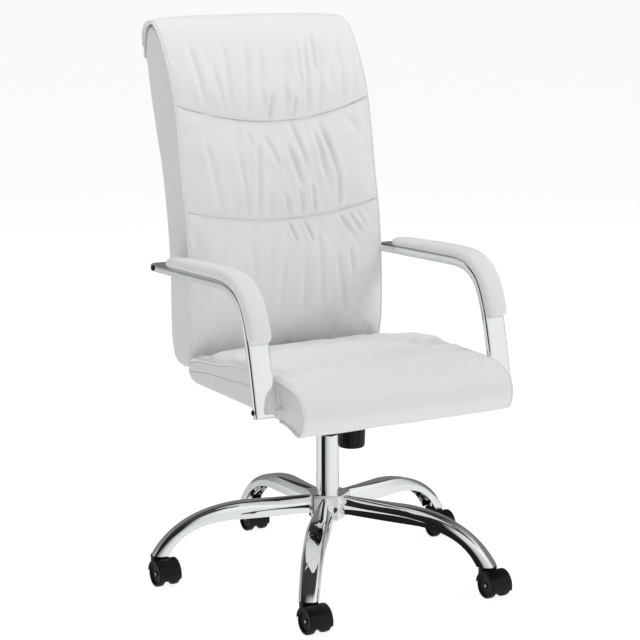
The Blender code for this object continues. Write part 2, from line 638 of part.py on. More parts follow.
def make_back(upper):
    front = [Vector(point) for point in BOARD_FRONT]
    rear = [point + Vector((BACK_BOARD_THICKNESS, 0)) for point in front]
    board = add_piece("back_board", flat_solid(front + rear[::-1], 2 * (PANEL_HALF - 0.001),
                                               SIDE_VIEW), PLYWOOD, upper)
    panel_front = [point + Vector((GAP, 0)) for point in rear]
    panel_rear = [(0.284, 0.472), (0.291, 0.520), (0.289, 0.640), (0.299, 0.750), (0.321, 0.861),
                  (0.357, 0.972), (0.390, 1.088)]
    panel = panel_front[::-1] + [Vector(point) for point in panel_rear]
    rear_panel = add_piece("rear_panel", flat_solid(panel, 2 * (PANEL_HALF - 0.001), SIDE_VIEW),
                           LEATHER, upper)
    soften(rear_panel, 0.0025, 1, 60)

    outline = BACK_FRONT + BACK_CROWN + BACK_REAR
    cushion = add_piece("back_cushion", flat_solid(outline, 2 * BACK_HALF, SIDE_VIEW), LEATHER,
                        upper)
    soften(cushion, 0.010)
    pocket = [front[0] + Vector((-GAP, -GAP))]
    pocket += [point + Vector((-GAP, 0)) for point in front[1:-1]]
    pocket += [front[-1] + Vector((-GAP, GAP)), Vector((0.45, 1.090 + GAP)),
               Vector((0.45, 0.470 - GAP))]
    cut(cushion, flat_solid(pocket, 2 * PANEL_HALF, SIDE_VIEW), upper)

    # The steel bracket runs back under the seat board and up in front of the back board
    leg_rear = front[0].x - GAP
    leg_front = leg_rear - BRACKET_THICKNESS + GAP
    floor, roof = BOARD_BOTTOM - GAP - BRACKET_THICKNESS, BOARD_BOTTOM - GAP
    profile = [(0.106, floor), (leg_rear - 0.008, floor), (leg_rear, floor + 0.008),
               (leg_rear, 0.620), (leg_front, 0.620), (leg_front, roof + 0.005),
               (leg_front - 0.005, roof), (0.106, roof)]
    add_piece("back_bracket", flat_solid(profile, 2 * BRACKET_HALF, SIDE_VIEW), BLACK_STEEL, upper)
    slot = box((-BRACKET_HALF - GAP, leg_front - GAP, 0.40),
               (BRACKET_HALF + GAP, leg_rear + 0.001, 0.620 + GAP))
    cut(cushion, slot, upper)

    for sign in (-1, 1):
        near, far = sorted((sign * 0.205, sign * (PANEL_HALF - 0.001)))
        y, z = REAR_BOLT
        low, high = (near, y - 0.014, z - 0.03), (far, 0.268, z + 0.03)
        cut(board, box(low, high), upper, operation="UNION")
        grown = Vector((GAP, GAP, GAP))
        cut(cushion, box(Vector(low) - grown, Vector(high) + grown), upper)
        hole = cylinder((sign * 0.200, y, z), (sign * 0.255, y, z), BOLT_RADIUS + GAP, segments=12)
        cut(board, hole, upper)
        cut(cushion, hole.copy(), upper)


# ---------------------------------------------------------------- arms
def arm_path():
    """The middle line of an arm tube, from its rear end over the bend and down to the seat."""
    rear = Vector((0.231, 0.6682))
    bend_top = Vector((-0.075, 0.6795))
    foot = Vector((-0.2425, 0.4345))
    straight = [rear.lerp(bend_top, share) for share in (0.0, 0.12, 0.55)]
    return straight + bend(bend_top, (-0.187, 0.6836), (-0.1995, 0.6345), foot, 10)


def rounded_section(width, height, radius, steps=2):
    points = []
    for corner, (x, y) in enumerate(((1, 1), (-1, 1), (-1, -1), (1, -1))):
        for step in range(steps + 1):
            angle = math.radians(90 * corner + 90 * step / steps)
            points.append((x * (width / 2 - radius) + radius * math.cos(angle),
                           y * (height / 2 - radius) + radius * math.sin(angle)))
    return points


def arm_tube():
    """A flat-sided tube swept along the arm's path, open at both ends."""
    section = bpy.data.curves.new("section", "CURVE")
    section.dimensions = "2D"
    section.fill_mode = "NONE"
    loop = section.splines.new("POLY")
    corners = rounded_section(ARM_WIDTH, ARM_THICKNESS, ARM_CORNER)
    loop.points.add(len(corners) - 1)
    for point, (x, y) in zip(loop.points, corners):
        point.co = (x, y, 0, 1)
    loop.use_cyclic_u = True
    section_guide = bpy.data.objects.new("section", section)
    cutters.objects.link(section_guide)
    path = bpy.data.curves.new("path", "CURVE")
    path.dimensions = "3D"
    path.twist_mode = "Z_UP"
    path.bevel_mode = "OBJECT"
    path.bevel_object = section_guide
    line = path.splines.new("POLY")
    places = arm_path()
    line.points.add(len(places) - 1)
    for point, place in zip(line.points, places):
        point.co = (0, place.x, place.y, 1)
    mesh = evaluated_mesh(bpy.data.objects.new("path", path), Matrix.Identity(4), closed=False)
    bpy.data.objects.remove(section_guide, do_unlink=True)
    return mesh


def make_arm(side, sign, upper):
    centre = sign * ARM_X
    places = arm_path()
    arm_frame = add_empty(f"arm_frame_{side}", (centre, 0, 0), upper)
    tube = add_piece(f"arm_tube_{side}", arm_tube(), CHROME, arm_frame)
    wall = tube.modifiers.new("Solidify", "SOLIDIFY")
    wall.thickness = ARM_WALL
    wall.offset = 1                                   # the swept skin faces the bore
    for bolt in (REAR_BOLT, FRONT_BOLT):
        cut(tube, cylinder((-0.04, *bolt), (0.04, *bolt), BOLT_RADIUS + GAP, segments=12),
            arm_frame)

    # The padded sleeve sits on the outside of the bend and thins towards both ends
    covered = [Vector(place) for place in places[1:-3]]
    lower = offset_line(covered, -(ARM_THICKNESS / 2 + GAP))
    last = len(covered) - 1
    fullness = [PAD_THICKNESS * (0.45 + 0.55 * math.sin(math.pi * index / last) ** 0.5)
                for index in range(last + 1)]
    upper_line = [offset_line(covered, -(ARM_THICKNESS / 2 + GAP + thick))[index]
                  for index, thick in enumerate(fullness)]
    pad = add_piece(f"arm_pad_{side}", flat_solid(lower + upper_line[::-1], PAD_WIDTH, SIDE_VIEW),
                    LEATHER, arm_frame)
    soften(pad, 0.006)

    bore_wide, bore_high = ARM_WIDTH - 2 * ARM_WALL, ARM_THICKNESS - 2 * ARM_WALL
    for name, end, before in (("rear", places[0], places[1]), ("front", places[-1], places[-2])):
        out = (end - before).normalized()
        turn = Matrix.Rotation(math.atan2(out.y, out.x), 4, "X")
        stem = rounded_section(bore_wide - 2 * GAP, bore_high - 2 * GAP, ARM_CORNER - ARM_WALL)
        body = flat_solid(stem, 0.0055, turn @ Matrix.Translation((0, -0.00175, 0)) @ FRONT_VIEW)
        plug = add_piece(f"arm_plug_{name}_{side}", body, WHITE_PLASTIC, arm_frame,
                         (0, end.x, end.y))
        rim = rounded_section(ARM_WIDTH - 0.002, ARM_THICKNESS - 0.002, ARM_CORNER - 0.001)
        cap = flat_solid(rim, 0.0015, turn @ Matrix.Translation((0, GAP + 0.00075, 0)) @ FRONT_VIEW)
        cut(plug, cap, arm_frame, (0, end.x, end.y), operation="UNION")

    bolt_end = BOLT_END_X - ARM_X - ARM_WIDTH / 2
    for name, place in (("rear", REAR_BOLT), ("front", FRONT_BOLT)):
        profile = [(0, BOLT_HEAD_HEIGHT), (BOLT_HEAD_RADIUS - 0.0015, BOLT_HEAD_HEIGHT),
                   (BOLT_HEAD_RADIUS, BOLT_HEAD_HEIGHT - 0.0015), (BOLT_HEAD_RADIUS, GAP),
                   (BOLT_RADIUS, GAP), (BOLT_RADIUS, bolt_end), (0, bolt_end)]
        turn = Matrix.Rotation(math.radians(90 * sign), 4, "Y")
        add_piece(f"arm_bolt_{name}_{side}", turned(profile, 16, matrix=turn), BLACK_STEEL,
                  arm_frame, (sign * ARM_WIDTH / 2, *place))


make_base()
caster_housing = housing_mesh()
for leg_name, leg_angle in zip(LEG_NAMES, LEG_ANGLES):
    make_caster(leg_name, leg_angle, caster_housing)
lift_frame = make_gas_lift()
upper_frame = make_mechanism(lift_frame)
make_seat(upper_frame)
make_back(upper_frame)
for arm_side, arm_sign in (("left", 1), ("right", -1)):
    make_arm(arm_side, arm_sign, upper_frame)
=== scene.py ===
"""A high-back swivel chair, put together from the floor up: a chromed five-leg base on casters,
the gas lift, the tilt mechanism, the padded seat and back, and two tube arms with padded sleeves.

Metres, +Z up, the chair faces -Y.
"""
import math

import bmesh
import bpy
import numpy as np
from mathutils import Matrix, Vector, noise


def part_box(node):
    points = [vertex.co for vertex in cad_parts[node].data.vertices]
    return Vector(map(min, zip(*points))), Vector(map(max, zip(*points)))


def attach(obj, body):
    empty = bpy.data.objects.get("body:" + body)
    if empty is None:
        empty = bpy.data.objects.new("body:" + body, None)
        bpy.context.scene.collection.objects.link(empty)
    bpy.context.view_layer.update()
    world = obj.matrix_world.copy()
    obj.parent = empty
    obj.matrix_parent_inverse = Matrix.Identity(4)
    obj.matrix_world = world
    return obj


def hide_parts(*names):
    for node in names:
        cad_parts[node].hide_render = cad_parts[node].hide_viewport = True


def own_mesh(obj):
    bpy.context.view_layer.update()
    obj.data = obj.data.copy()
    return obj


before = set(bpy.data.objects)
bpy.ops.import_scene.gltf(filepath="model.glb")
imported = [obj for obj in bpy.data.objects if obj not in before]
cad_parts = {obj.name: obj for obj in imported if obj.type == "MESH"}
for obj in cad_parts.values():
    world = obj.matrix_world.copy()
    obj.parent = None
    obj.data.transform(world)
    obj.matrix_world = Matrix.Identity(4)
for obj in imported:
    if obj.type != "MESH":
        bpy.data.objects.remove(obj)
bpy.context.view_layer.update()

# ---------------------------------------------------------------- studio
# A pale floor that runs into a white backdrop, four soft lights, and a sky of bright and dark
# bands, which stands for the softboxes and black flags that polished metal mirrors.
CAMERA_PLACE = Vector((-2.053, -3.570, 1.384))
CAMERA_AIM = Vector((-0.0146, -0.0206, 0.5618))
CAMERA_LENS = 109.4
STUDIO_RADIUS = 50.0
FLOOR_LEVEL, FLOOR_GLOW = 0.26, 0.89
# What the chrome mirrors: for each band of height, the brightness by the angle from +X
FRONT_LOW = ((-180, 0.013), (-154, 0.013), (-147, 0.03), (-141, 0.42), (-134, 0.50),
             (-125, 0.58), (-115, 0.68), (-106, 0.76), (-90, 0.82), (-60, 0.87), (-30, 0.87),
             (-10, 0.80), (15, 0.72), (50, 0.62), (93, 0.55), (118, 0.58), (135, 0.80),
             (165, 0.80), (172, 0.72), (176, 0.03), (180, 0.013))
LEVEL_BAND = ((-180, 0.013), (-146, 0.013), (-136, 0.40), (-125, 0.60), (-100, 0.80),
              (-58, 0.87), (-30, 0.87), (-4, 0.60), (6, 0.20), (60, 0.18), (110, 0.24),
              (140, 0.62), (168, 0.70), (175, 0.02), (180, 0.013))
SOFTBOX_BAND = ((-180, 0.02), (-142, 0.02), (-128, 0.70), (-100, 0.95), (0, 0.90), (20, 0.40),
                (40, 0.04), (180, 0.02))
CEILING = ((-180, 0.04), (-90, 0.05), (0, 0.04), (90, 0.10), (180, 0.04))
# Each band above the first: the sines of the elevations where it starts and is full
BANDS = ((-0.10, -0.04, LEVEL_BAND), (0.36, 0.46, SOFTBOX_BAND), (0.66, 0.80, CEILING))
# Soft lights that the metal doesn't mirror: name, place, size and power
LIGHTS = (("key", (2.6, -2.6, 2.8), 1.3, 33.0), ("top", (0.0, 0.6, 4.8), 2.4, 116.0),
          ("left_fill", (-4.2, -1.0, 2.2), 2.6, 30.0), ("rear_fill", (1.0, 4.0, 2.0), 3.0, 30.0))
LIGHTS_AIM = Vector((0, 0, 0.6))


class Signal:
    """One output of a node; arithmetic on it adds Math nodes."""

    def __init__(self, graph, socket):
        self.graph = graph
        self.socket = socket

    def out(self, name):
        return Signal(self.graph, self.socket.node.outputs[name])

    def maths(self, operation, *values):
        return self.graph.node("ShaderNodeMath", {"operation": operation},
                               dict(enumerate(values)))

    def __add__(self, other):
        return self.maths("ADD", self, other)

    def __sub__(self, other):
        return self.maths("SUBTRACT", self, other)

    def __rsub__(self, other):
        return self.maths("SUBTRACT", other, self)

    def __mul__(self, other):
        return self.maths("MULTIPLY", self, other)

    __radd__ = __add__
    __rmul__ = __mul__


class Graph:
    """The nodes of a material or of the sky."""

    def __init__(self, owner):
        owner.use_nodes = True
        self.owner = owner
        self.tree = owner.node_tree
        self.shader = next(node for node in self.tree.nodes if "Output" not in node.bl_idname)

    def put(self, socket, value):
        if isinstance(value, Signal):
            self.tree.links.new(value.socket, socket)
        elif isinstance(value, tuple) and socket.type == "RGBA":
            socket.default_value = (*value, 1.0)
        else:
            socket.default_value = value

    def node(self, kind, settings=None, values=None, output=0):
        made = self.tree.nodes.new(kind)
        for name, setting in (settings or {}).items():
            if name == "stops":
                ramp = made.color_ramp
                while len(ramp.elements) < len(setting):
                    ramp.elements.new(1.0)
                for stop, (place, level) in zip(ramp.elements, setting):
                    stop.position = place
                    stop.color = (level, level, level, 1.0)
            else:
                setattr(made, name, setting)
        for name, value in (values or {}).items():
            self.put(made.inputs[name], value)
        return Signal(self, made.outputs[output])

    def set(self, **values):
        for name, value in values.items():
            self.put(self.shader.inputs[name.replace("_", " ")], value)


def link(thing):
    """Put a new object in the scene."""
    bpy.context.scene.collection.objects.link(thing)
    return thing


camera = link(bpy.data.objects.new("camera", bpy.data.cameras.new("camera")))
camera.data.lens = CAMERA_LENS
camera.data.clip_end = 200.0
camera.location = CAMERA_PLACE
camera.rotation_mode = "QUATERNION"
camera.rotation_quaternion = (CAMERA_AIM - CAMERA_PLACE).to_track_quat("-Z", "Y")
bpy.context.scene.camera = camera
bpy.context.scene.view_settings.view_transform = "Standard"

bpy.context.scene.world = bpy.data.worlds.new("studio")
sky = Graph(bpy.context.scene.world)
toward = sky.node("ShaderNodeTexCoord", output="Generated")
toward_x = sky.node("ShaderNodeSeparateXYZ", {}, {0: toward})
toward_z = toward_x.out("Z")
turn = toward_x.maths("ARCTAN2", toward_x.out("Y"), toward_x) * (1 / math.tau) + 0.5


def profile(levels):
    """A band's brightness in each direction round the chair."""
    stops = [((degrees + 180) / 360, level) for degrees, level in levels]
    return sky.node("ShaderNodeValToRGB", {"stops": stops}, {0: turn})


bright = profile(FRONT_LOW)
for low, high, levels in BANDS:
    share = sky.node("ShaderNodeMapRange", {"interpolation_type": "SMOOTHSTEP"},
                     {"Value": toward_z, "From Min": low, "From Max": high})
    bright = bright * (1 - share) + profile(levels) * share
sky.set(Strength=bright, Color=(1.0, 1.0, 1.0))

for name, place, size, power in LIGHTS:
    light = link(bpy.data.objects.new(name, bpy.data.lights.new(name, "AREA")))
    light.data.energy = power
    light.data.size = size
    light.location = place
    light.rotation_mode = "QUATERNION"
    light.rotation_quaternion = (LIGHTS_AIM - light.location).to_track_quat("-Z", "Y")
    light.visible_glossy = False


def studio_surface(name, shape, level, glow):
    """A part of the studio: matt, grey to a level, and glowing white."""
    mesh = bpy.data.meshes.new(name)
    shape.to_mesh(mesh)
    shape.free()
    paint = Graph(bpy.data.materials.new(name))
    paint.set(Base_Color=(level, level, level), Roughness=0.9, Specular_IOR_Level=0.0,
              Emission_Color=(1.0, 1.0, 1.0), Emission_Strength=glow)
    mesh.materials.append(paint.owner)
    surface = link(bpy.data.objects.new(name, mesh))
    surface.visible_glossy = False
    return surface


floor_shape = bmesh.new()
bmesh.ops.create_grid(floor_shape, x_segments=1, y_segments=1, size=STUDIO_RADIUS)
studio_surface("studio_floor", floor_shape, FLOOR_LEVEL, FLOOR_GLOW)
dome_shape = bmesh.new()
bmesh.ops.create_icosphere(dome_shape, subdivisions=4, radius=STUDIO_RADIUS - 1)
dome = studio_surface("studio_backdrop", dome_shape, 0.0, 1.0)
dome.visible_diffuse = dome.visible_shadow = dome.visible_transmission = False

# ---------------------------------------------------------------- base
# Five arched legs pressed from steel, welded to a five-sided hub, polished and chrome plated.
# Each leg is an upside-down channel, and its tip holds the socket of a caster's stem.
axis_low, axis_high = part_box("column_tube")
AXIS = Vector(((axis_low.x + axis_high.x) / 2, (axis_low.y + axis_high.y) / 2, 0))
LEG_ANGLES = {"front_right": 234, "front_left": 306, "left": 18, "rear": 90, "right": 162}
STEM_CIRCLE = 0.3708
HUB_CORNER, HUB_BOTTOM, HUB_TOP = 0.051, 0.128, 0.181
HUB_BORE = 0.0249
LEG_HUB_WIDTH, LEG_FULL_WIDTH, LEG_TIP_WIDTH = 0.034, 0.050, 0.043
LEG_FULL_REACH = 0.20
LEG_WALL = 0.0025
LEG_TIP_Z = 0.062
# The leg's back and its rim, as (reach, height): where each leaves the hub, then its bend
LEG_ROOTS = ((0.034, 0.176), (0.034, 0.139))
LEG_BENDS = (((0.19, 0.170), (0.283, 0.163), (0.349, 0.127), (0.388, LEG_TIP_Z)),
             ((0.206, 0.136), (0.279, 0.1347), (0.328, 0.110), (0.3535, LEG_TIP_Z)))


def point_on_bend(corners, t):
    """A point of a smooth bend from the first corner to the last, pulled by the two between."""
    a, b, c, d = (Vector(corner) for corner in corners)
    return a * (1 - t) ** 3 + b * 3 * t * (1 - t) ** 2 + c * 3 * t ** 2 * (1 - t) + d * t ** 3


def eased(points, radius, steps=4, closed=False):
    """A line with each of its corners turned into a short curve of steps + 1 points."""
    corners = [Vector(point) for point in points]
    line = []
    for index, corner in enumerate(corners):
        if not closed and index in (0, len(corners) - 1):
            line.append(corner)
            continue
        back = corners[index - 1] - corner
        ahead = corners[(index + 1) % len(corners)] - corner
        start = corner + back.normalized() * min(radius, back.length * 0.45)
        end = corner + ahead.normalized() * min(radius, ahead.length * 0.45)
        for step in range(steps + 1):
            t = step / steps
            line.append(start * (1 - t) ** 2 + corner * 2 * t * (1 - t) + end * t ** 2)
    return line


def skin(rings, closed=True, caps=False):
    """Draw the first ring of points, then extrude it from ring to ring."""
    shape = bmesh.new()
    spot = shape.verts.layers.int.new("spot")
    station = shape.verts.layers.int.new("station")
    verts = [shape.verts.new(point) for point in rings[0]]
    for index, vert in enumerate(verts):
        vert[spot] = index
    pairs = zip(verts, verts[1:] + verts[:1]) if closed else zip(verts, verts[1:])
    edges = first = [shape.edges.new(pair) for pair in pairs]
    for number, ring in enumerate(rings[1:], 1):
        made = bmesh.ops.extrude_edge_only(shape, edges=edges)["geom"]
        fresh = {part for part in made if isinstance(part, bmesh.types.BMVert)}
        edges = [part for part in made
                 if isinstance(part, bmesh.types.BMEdge) and set(part.verts) <= fresh]
        for vert in fresh:
            vert.co = ring[vert[spot]]
            vert[station] = number
    if caps:
        bmesh.ops.edgeloop_fill(shape, edges=first)
        bmesh.ops.edgeloop_fill(shape, edges=edges)
    bmesh.ops.recalc_face_normals(shape, faces=shape.faces)
    return shape


def turned(profile, steps=64, place=Matrix()):
    """Spin a profile of (radius, height) a full turn about Z, then put it in its place."""
    shape = bmesh.new()
    verts = [shape.verts.new((radius, 0, height)) for radius, height in profile]
    edges = [shape.edges.new(pair) for pair in zip(verts, verts[1:])]
    bmesh.ops.spin(shape, geom=verts + edges, axis=(0, 0, 1), angle=math.tau, steps=steps,
                   use_merge=True)
    bmesh.ops.remove_doubles(shape, verts=shape.verts, dist=1e-6)
    bmesh.ops.recalc_face_normals(shape, faces=shape.faces)
    bmesh.ops.transform(shape, matrix=place, verts=shape.verts)
    return shape


def soften(shape, edges, width, segments=2, clamp=False):
    """Round the given edges of a shape."""
    bmesh.ops.bevel(shape, geom=edges, offset=width, segments=segments, profile=0.5,
                    affect="EDGES", material=-1, clamp_overlap=clamp)


def join(shape, other):
    """Add another finished shape to this one."""
    mesh = bpy.data.meshes.new("joined")
    other.to_mesh(mesh)
    other.free()
    shape.from_mesh(mesh)
    bpy.data.meshes.remove(mesh)


def add_piece(name, shape, finish, body, stands_for=(), sharp=35):
    """A finished shape as a piece on its body, smooth apart from its sharp edges."""
    mesh = bpy.data.meshes.new(name)
    shape.to_mesh(mesh)
    shape.free()
    mesh.shade_smooth()
    mesh.set_sharp_from_angle(angle=math.radians(sharp))
    mesh.materials.append(finish)
    piece = link(bpy.data.objects.new(name, mesh))
    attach(piece, body)
    if stands_for:
        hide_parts(*stands_for)
    return piece


def clouds(finish, scale, detail):
    """Soft noise in the space of the piece."""
    place = finish.node("ShaderNodeTexCoord", output="Object")
    return finish.node("ShaderNodeTexNoise", {}, {"Vector": place, "Scale": scale,
                                                  "Detail": detail})


def embossed(finish, height, strength, distance):
    """A surface that a height raises and lowers, for the shader's normal."""
    return finish.node("ShaderNodeBump", {}, {"Strength": strength, "Distance": distance,
                                              "Height": height})


def between(finish, share, first, second):
    """A colour between two, by a share from 0 to 1."""
    return finish.node("ShaderNodeMix", {"data_type": "RGBA"}, {0: share, 6: first, 7: second},
                       output=2)


def polished_chrome():
    """Bright plated steel: almost a mirror, with faint polishing haze."""
    finish = Graph(bpy.data.materials.new("polished_chrome"))
    haze = clouds(finish, 14.0, 4.0)
    ripple = clouds(finish, 42.0, 2.0)
    finish.set(Base_Color=(0.93, 0.935, 0.94), Metallic=1.0, Roughness=haze * 0.05 + 0.018,
               Normal=embossed(finish, ripple, 0.03, 0.002))
    return finish.owner


def leg_width(reach):
    """The leg's width at a distance from the column: slim at the hub, fullest halfway."""
    if reach < LEG_FULL_REACH:
        share = max(0.0, (reach - 0.04) / (LEG_FULL_REACH - 0.04))
        return LEG_HUB_WIDTH + (LEG_FULL_WIDTH - LEG_HUB_WIDTH) * math.sin(share * math.pi / 2)
    share = (reach - LEG_FULL_REACH) / (STEM_CIRCLE + 0.017 - LEG_FULL_REACH)
    return LEG_FULL_WIDTH + (LEG_TIP_WIDTH - LEG_FULL_WIDTH) * share


def leg_section(width, depth, fullness):
    """Half of the channel's outline from the middle of its back, as (across, down)."""
    shoulder = 0.19 + 0.13 * fullness
    hip = 0.35 + 0.05 * fullness
    corners = [(0, 0), (shoulder * width, 0.0008), (hip * width, 0.0095 - 0.0045 * fullness),
               (width / 2, depth * 0.52), (width * 0.478, depth)]
    return eased(corners, 0.011 - 0.005 * fullness, 5)


def leg_shape():
    """One leg along +X, from inside the hub's wall to the flat end over its caster."""
    stations = [[Vector(root).lerp(Vector(bend[0]), step / 12)
                 for root, bend in zip(LEG_ROOTS, LEG_BENDS)] for step in range(12)]
    stations += [[point_on_bend(bend, step / 32) for bend in LEG_BENDS] for step in range(33)]
    rings = []
    for back, rim in stations:
        down = (rim - back).normalized()
        reach = (back.x + rim.x) / 2
        fullness = min(1.0, max(0.0, (reach - 0.05) / 0.13))
        half = leg_section(leg_width(reach), (rim - back).length, fullness)
        outline = [(-point.x, point.y) for point in half[::-1]] + [tuple(p) for p in half[1:]]
        rings.append([Vector((back.x + down.x * deep, across, back.y + down.y * deep))
                      for across, deep in outline])
    shape = skin(rings, closed=False)
    upward = sum(face.normal.z * face.calc_area() for face in shape.faces)
    if upward < 0:
        bmesh.ops.reverse_faces(shape, faces=shape.faces)
    bmesh.ops.solidify(shape, geom=shape.faces, thickness=LEG_WALL)
    socket = [(0.0058, 0.0625), (0.0092, 0.0625), (0.0096, 0.066), (0.0092, 0.073), (0, 0.078)]
    join(shape, turned(socket, 24, Matrix.Translation((STEM_CIRCLE, 0, 0))))
    rib = bmesh.new()
    bmesh.ops.create_cube(rib, size=1.0, matrix=Matrix.Translation((0.338, 0, 0.094))
                          @ Matrix.Rotation(0.6, 4, "Y")
                          @ Matrix.Diagonal((0.0025, 0.026, 0.014, 1)))
    join(shape, rib)
    return shape


def hub_shape():
    """A five-sided block with rounded edges and a bore for the column."""
    height = HUB_TOP - HUB_BOTTOM
    shape = bmesh.new()
    bmesh.ops.create_cone(shape, cap_ends=True, segments=5, radius1=HUB_CORNER,
                          radius2=HUB_CORNER, depth=height)
    upright = [edge for edge in shape.edges
               if abs(edge.verts[0].co.z - edge.verts[1].co.z) > height / 2]
    soften(shape, upright, 0.004, 4)
    rims = [edge for edge in shape.edges
            if abs(edge.verts[0].co.z - edge.verts[1].co.z) < 1e-5]
    soften(shape, rims, 0.0014, 3)
    ends = [face for face in shape.faces if abs(face.normal.z) > 0.99 and len(face.verts) > 10]
    bmesh.ops.delete(shape, geom=ends, context="FACES_ONLY")
    bores = []
    for z in (height / 2, -height / 2):
        loop = [edge for edge in shape.edges
                if edge.is_boundary and edge.verts[0].co.z * z > 0]
        made = bmesh.ops.create_circle(shape, segments=40, radius=HUB_BORE,
                                       matrix=Matrix.Translation((0, 0, z)))["verts"]
        bore = list({edge for vert in made for edge in vert.link_edges})
        bmesh.ops.bridge_loops(shape, edges=loop + bore)
        bores += bore
    bmesh.ops.bridge_loops(shape, edges=bores)
    bmesh.ops.recalc_face_normals(shape, faces=shape.faces)
    bmesh.ops.transform(shape, matrix=Matrix.Translation((0, 0, (HUB_TOP + HUB_BOTTOM) / 2))
                        @ Matrix.Rotation(math.radians(-36), 4, "Z"), verts=shape.verts)
    return shape


CHROME = polished_chrome()
base_shape = hub_shape()
for degrees in LEG_ANGLES.values():
    leg = leg_shape()
    bmesh.ops.rotate(leg, matrix=Matrix.Rotation(math.radians(degrees), 3, "Z"),
                     verts=leg.verts)
    join(base_shape, leg)
bmesh.ops.translate(base_shape, vec=AXIS, verts=base_shape.verts)
add_piece("chromed_base", base_shape, CHROME, "base", ["base_star"], 38)

# ---------------------------------------------------------------- casters
# Twin-wheel casters moulded in black nylon: a hood over the wheels with a neck and a collar
# round the steel stem, and two dished wheels pressed on one axle.
TRAIL = 0.025
WHEEL_RADIUS = 0.0272
HOOD_RADIUS = WHEEL_RADIUS + 0.0038
NECK_RADIUS = 0.0195
COLLAR_TOP = 0.0612
SIDES = (("left", 1), ("right", -1))


def moulded_black(name, roughness, grain):
    """Black nylon with the faint even grain of its mould."""
    finish = Graph(bpy.data.materials.new(name))
    texture = clouds(finish, grain, 3.0)
    wear = clouds(finish, 60.0, 4.0)
    finish.set(Base_Color=between(finish, wear, (0.002, 0.002, 0.0022), (0.005, 0.005, 0.0052)),
               Roughness=texture * 0.12 + (roughness - 0.06), Specular_IOR_Level=0.22,
               Normal=embossed(finish, texture, 0.12, 0.0003))
    return finish.owner


def caster_housing():
    """Hood, web, neck and collar about the stem, which stands on the origin."""
    axle = Vector((0, -TRAIL, WHEEL_RADIUS))
    outer, inner = HOOD_RADIUS, HOOD_RADIUS - 0.0022
    section = [(-0.0262, 0.0262), (-0.0262, outer), (0.0262, outer), (0.0262, 0.0262),
               (0.0257, 0.0262), (0.0252, inner), (-0.0252, inner), (-0.0257, 0.0262)]
    ring = [Vector((x, 0, 0)) + Vector((0, radius, 0))
            for x, radius in eased(section, 0.0022, 3, closed=True)]
    shape = bmesh.new()
    verts = [shape.verts.new(point) for point in ring]
    edges = [shape.edges.new(pair) for pair in zip(verts, verts[1:] + verts[:1])]
    bmesh.ops.rotate(shape, matrix=Matrix.Rotation(math.radians(5), 3, "X"), verts=verts)
    swept = bmesh.ops.spin(shape, geom=verts + edges, axis=(1, 0, 0), angle=math.radians(192),
                           steps=44)["geom_last"]
    bmesh.ops.edgeloop_fill(shape, edges=edges)
    bmesh.ops.edgeloop_fill(shape, edges=[part for part in swept
                                          if isinstance(part, bmesh.types.BMEdge)])
    bmesh.ops.recalc_face_normals(shape, faces=shape.faces)
    bmesh.ops.translate(shape, vec=axle, verts=shape.verts)

    across = Matrix.Rotation(math.radians(90), 4, "Y")
    web = [(0, 0.008), (0.0190, 0.008), (0.0205, 0.0065), (0.0205, -0.0065), (0.0190, -0.008),
           (0, -0.008)]
    join(shape, turned(web, 40, Matrix.Translation(axle) @ across))
    neck = bmesh.new()
    bmesh.ops.create_cone(neck, cap_ends=True, segments=64, radius1=NECK_RADIUS,
                          radius2=NECK_RADIUS, depth=0.022,
                          matrix=Matrix.Translation((0, 0, COLLAR_TOP - 0.013)))
    for vert in neck.verts:
        if vert.co.z < COLLAR_TOP - 0.02:
            past = vert.co.y + TRAIL
            over = math.sqrt(max(0.0, (outer - 0.001) ** 2 - past ** 2))
            vert.co.z = max(0.036, WHEEL_RADIUS + over)
    join(shape, neck)
    collar = eased([(0, COLLAR_TOP), (0.0200, COLLAR_TOP), (0.0200, COLLAR_TOP - 0.0038),
                    (0, COLLAR_TOP - 0.0038)], 0.0009, 3)
    join(shape, turned(collar, 64))
    return shape


def caster_wheel():
    """A wheel about the X axis, its dished outer face at +X."""
    profile = [(0, 0.0040), (0.0052, 0.0040), (0.0060, 0.0020), (0.0195, 0.0030),
               (0.0222, 0.0080), (0.0252, 0.0080), (WHEEL_RADIUS, 0.0058),
               (WHEEL_RADIUS, -0.0058), (0.0252, -0.0080), (0, -0.0080)]
    return turned(eased(profile, 0.0016, 3), 72, Matrix.Rotation(math.radians(90), 4, "Y"))


NYLON = moulded_black("moulded_nylon", 0.34, 2600.0)
TREAD = moulded_black("wheel_nylon", 0.42, 1800.0)
for leg_name in LEG_ANGLES:
    low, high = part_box(f"caster_stem_{leg_name}")
    stem = Vector(((low.x + high.x) / 2, (low.y + high.y) / 2, 0))
    housing = caster_housing()
    bmesh.ops.translate(housing, vec=stem, verts=housing.verts)
    add_piece(f"caster_hood_{leg_name}", housing, NYLON, f"caster_{leg_name}",
              [f"caster_housing_{leg_name}"], 40)
    for side, sign in SIDES:
        low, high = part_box(f"caster_wheel_{leg_name}_{side}")
        middle = Vector(((low.x + high.x) / 2, stem.y - TRAIL, WHEEL_RADIUS))
        wheel = caster_wheel()
        facing = Matrix.Rotation(math.radians(90 - 90 * sign), 4, "Z")
        bmesh.ops.transform(wheel, matrix=Matrix.Translation(middle) @ facing, verts=wheel.verts)
        add_piece(f"wheel_{leg_name}_{side}", wheel, TREAD, f"wheel_{leg_name}_{side}",
                  [f"caster_wheel_{leg_name}_{side}"], 40)

# ---------------------------------------------------------------- gas lift
# The chromed outer tube stands in the hub.  A black bush in its mouth guides the painted
# gas cylinder, which hangs on the piston rod inside and carries the seat.
COLUMN_RADIUS = 0.025
COLUMN_TOP = 0.311
CYLINDER_RADIUS = 0.014


